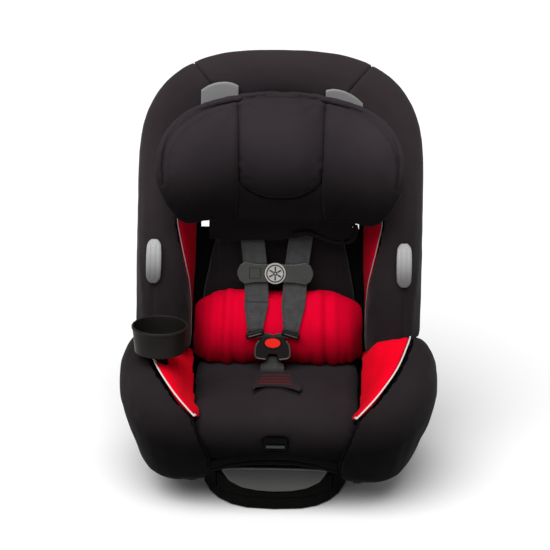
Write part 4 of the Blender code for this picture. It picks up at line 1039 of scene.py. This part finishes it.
def build_clip_relief():
    """A raised ring with short spokes on the clip's button, and a small outlined square beside it."""
    at = disc_frame(on_back(-0.006, 0.135, 0.031), UP)
    round_cord("clip_ring", circle(at, 0.0135, 0.0078, 64), 0.0009, "clip_button", CLIP_DARK, True)
    for k in range(6):
        a = 2 * pi * (k + 0.5) / 6
        spoke = [at(r * cos(a), r * sin(a), 0.0077) for r in np.linspace(0.0045, 0.0108, 9)]
        round_cord(f"clip_spoke_{k}", spoke, 0.0011, "clip_button", CLIP_DARK)
    round_cord("clip_hub", circle(at, 0.0026, 0.0077, 24), 0.0010, "clip_button", CLIP_DARK, True)
    corners = [(-0.0410, -0.0085), (-0.0235, -0.0085), (-0.0235, 0.0085), (-0.0410, 0.0085)]
    square = []
    for (u0, v0), (u1, v1) in zip(corners, corners[1:] + corners[:1]):
        square += [at(u0 + (u1 - u0) * f, v0 + (v1 - v0) * f, 0.0053) for f in np.linspace(0, 1, 9)[:-1]]
    round_cord("clip_square", square, 0.00065, "chest_clip_left", CLIP_DARK, True)


def build_buckle_relief():
    """The raised lip round the buckle's button, and the bevelled shoulders beside it in the lighter clip
    plastic: painted highlights.
    """
    at = disc_frame(BUCKLE, BUCKLE_UP)
    lip = circle(at, 0.0138, 0.0112, 64, 0.0085, 0.0088 / 0.0138)
    round_cord("buckle_lip", lip, 0.0009, "seat", BLACK, True)
    for side, sign in (("left", -1), ("right", 1)):
        run = curve_through([at(sign * u, v, 0.0110) for u, v in (
            (0.0215, 0.0120), (0.0262, 0.0035), (0.0275, -0.0100), (0.0240, -0.0155), (0.0112, -0.0175))], 50)
        round_cord(f"buckle_edge_{side}", run, 0.0015, "seat", CLIP)


def rounded_block(name, size, place, turn, body, finish, edge):
    """A moulded block with round edges."""
    edit = bmesh.new()
    matrix = Matrix.Translation(place) @ turn @ Matrix.Diagonal((*size, 1.0))
    bmesh.ops.create_cube(edit, size=1.0, matrix=matrix)
    block = link(name, mesh_from(name, edit))
    modifier(block, "BEVEL", width=edge, segments=5)
    apply_modifiers(block)
    block.data.shade_smooth()
    modifier(block, "WEIGHTED_NORMAL", weight=50)
    return placed(block, body, finish)


def build_tongue_grips():
    """The moulded grips over the straps' ends, flared down and away from the buckle, each with a ridge in the
    lighter clip plastic: painted highlight.
    """
    for side, sign in (("left", -1), ("right", 1)):
        turn = Matrix.Rotation(sign * radians(17), 4, "Y") @ Matrix.Rotation(-BUCKLE_TILT, 4, "X")
        x = BUCKLE.x + sign * 0.0285
        for name, size, place, finish, edge in (
                ("grip", (0.0300, 0.0090, 0.0105), (x, BUCKLE.y, 0.2050), BLACK, 0.0032),
                ("ridge", (0.0210, 0.0030, 0.0022), (x, -0.0392, 0.2048), CLIP, 0.0009)):
            block = rounded_block(f"tongue_{name}_{side}", size, place, turn, f"tongue_{side}", finish, edge)


def build_base_front():
    """The wall that closes the base's front below the handle, following the frame's curve."""
    handle = tree_of(NODES["recline_handle"])
    foot, lowest, highest, thick = 0.0180, 0.0215, 0.0460, 0.0040
    rows = []
    for x in np.linspace(-0.088, 0.088, 89):
        y = np.interp(abs(x), (0.0, 0.042, 0.067, 0.086, 0.090), (-0.2455, -0.2415, -0.2305, -0.2120, -0.2060))
        tops = [highest]
        for depth in (0.0, thick / 2, thick):
            spot = handle.ray_cast(Vector((x, y + depth, 0.0205)), -DOWN)[0]
            if spot:
                tops.append(spot.z - 0.0016)
        top = max(min(tops), lowest)
        rows.append([(x, y, foot), (x, y, top - 0.0010), (x, y + 0.0010, top), (x, y + thick, top),
                     (x, y + thick, foot)])
    wall = placed(link("base_front_wall", tube("base_front_wall", rows)), "base", BASE)


def build_shell_ribs():
    """Lengthwise ribs moulded on the back of the shell."""
    tree = tree_of(NODES["shell"])
    for k, x in enumerate((-0.122, -0.090, 0.090, 0.122)):
        spots = [tree.ray_cast(on_back(x, t, -0.3), OUT)[0] for t in np.linspace(0.03, 0.185, 40)]
        spots = np.array([tuple(p) for p in spots if p is not None])
        depth = in_back(spots)[:, 2]
        spots = spots[abs(depth - np.median(depth)) < 0.002]
        if len(spots) > 10:
            round_cord(f"shell_rib_{k}", curve_through(spots, 80), 0.0030, "seat", SHELL)


def pilled(obj, reach):
    """Draws a bar's two ends in, so that they are round seen from the front, and presses two lines along it."""
    spots = in_back(points_of(obj.data))
    low, high = spots.min(axis=0), spots.max(axis=0)
    middle = (low + high) / 2

    def shift(x, t):
        past = np.clip((abs(t - middle[1]) - (high[1] - middle[1] - reach)) / reach, 0, 1)
        return (x - middle[0]) * (np.sqrt(1 - 0.80 * past ** 2) - 1), 0, 0
    slid(obj, shift)
    for aside in (-0.0042, 0.0042):
        line = [on_back(middle[0] + aside, t, 0.0) for t in np.linspace(low[1] + 0.008, high[1] - 0.008, 20)]
        groove(obj, cast(line, tree_of(obj)), 0.0007, 0.0011, 0.3)


def dress_hard_parts():
    polish(SHELL, "shell", edge=None)
    polish(SHELL, "headrest_shell", "cup_socket")
    polish(BASE, "base_frame", "rocker_left", "rocker_right", "base_rail_left", "base_rail_right")
    for side in ("left", "right"):
        pilled(eased(f"belt_guide_side_{side}", GREY, 0.0009, 10), 0.010)
        top_guide = eased(f"belt_guide_top_{side}", GUIDE, 0.0009, 10)
        if side == "right":
            slid(top_guide, lambda x, t: (0, -0.012 * (x - 0.069) / 0.059, 0))
        eased(f"chest_clip_{side}", CLIP, 0.0008, 5)
    polish(EMBLEM, "clip_button", edge=0.0008)
    polish(BLACK, "buckle_housing", edge=0.0009, segments=4)
    eased("recline_handle", HANDLE, 0.0013, 8)
    # The handle's top lip, in a lighter copy of its plastic: painted highlight.
    lip = [(x, -0.2505, 0.0706 - 0.0018 * (abs(x) / 0.078) ** 6) for x in np.linspace(-0.0775, 0.0775, 17)]
    round_cord("handle_lip", curve_through(lip, 90), 0.0019, "recline_handle", HANDLE_LIP_HIGHLIGHT)
    polish(SHELL, "adjuster_bezel", edge=0.0006)
    polish(BUTTON, "buckle_button", edge=0.0012, segments=4)
    polish(HANDLE, "adjuster_lever", "headrest_release", edge=0.0004)
    polish(DARK_METAL, "tongue_left", "tongue_right", edge=0.0003)
    polish(METAL, "handle_pin", "recline_bolt", "notch_plate", "splitter_plate", "height_rack_left",
           "height_rack_right", "headrest_latch", edge=0.0003)


build_camera()
build_stage()
build_back()
build_thighs()
build_pillow()
build_cushion()
build_headrest()
build_shoulder_straps()
build_other_straps()
build_piping()
build_cup()
build_clip_relief()
build_buckle_relief()
build_tongue_grips()
build_base_front()
build_shell_ribs()
dress_hard_parts()
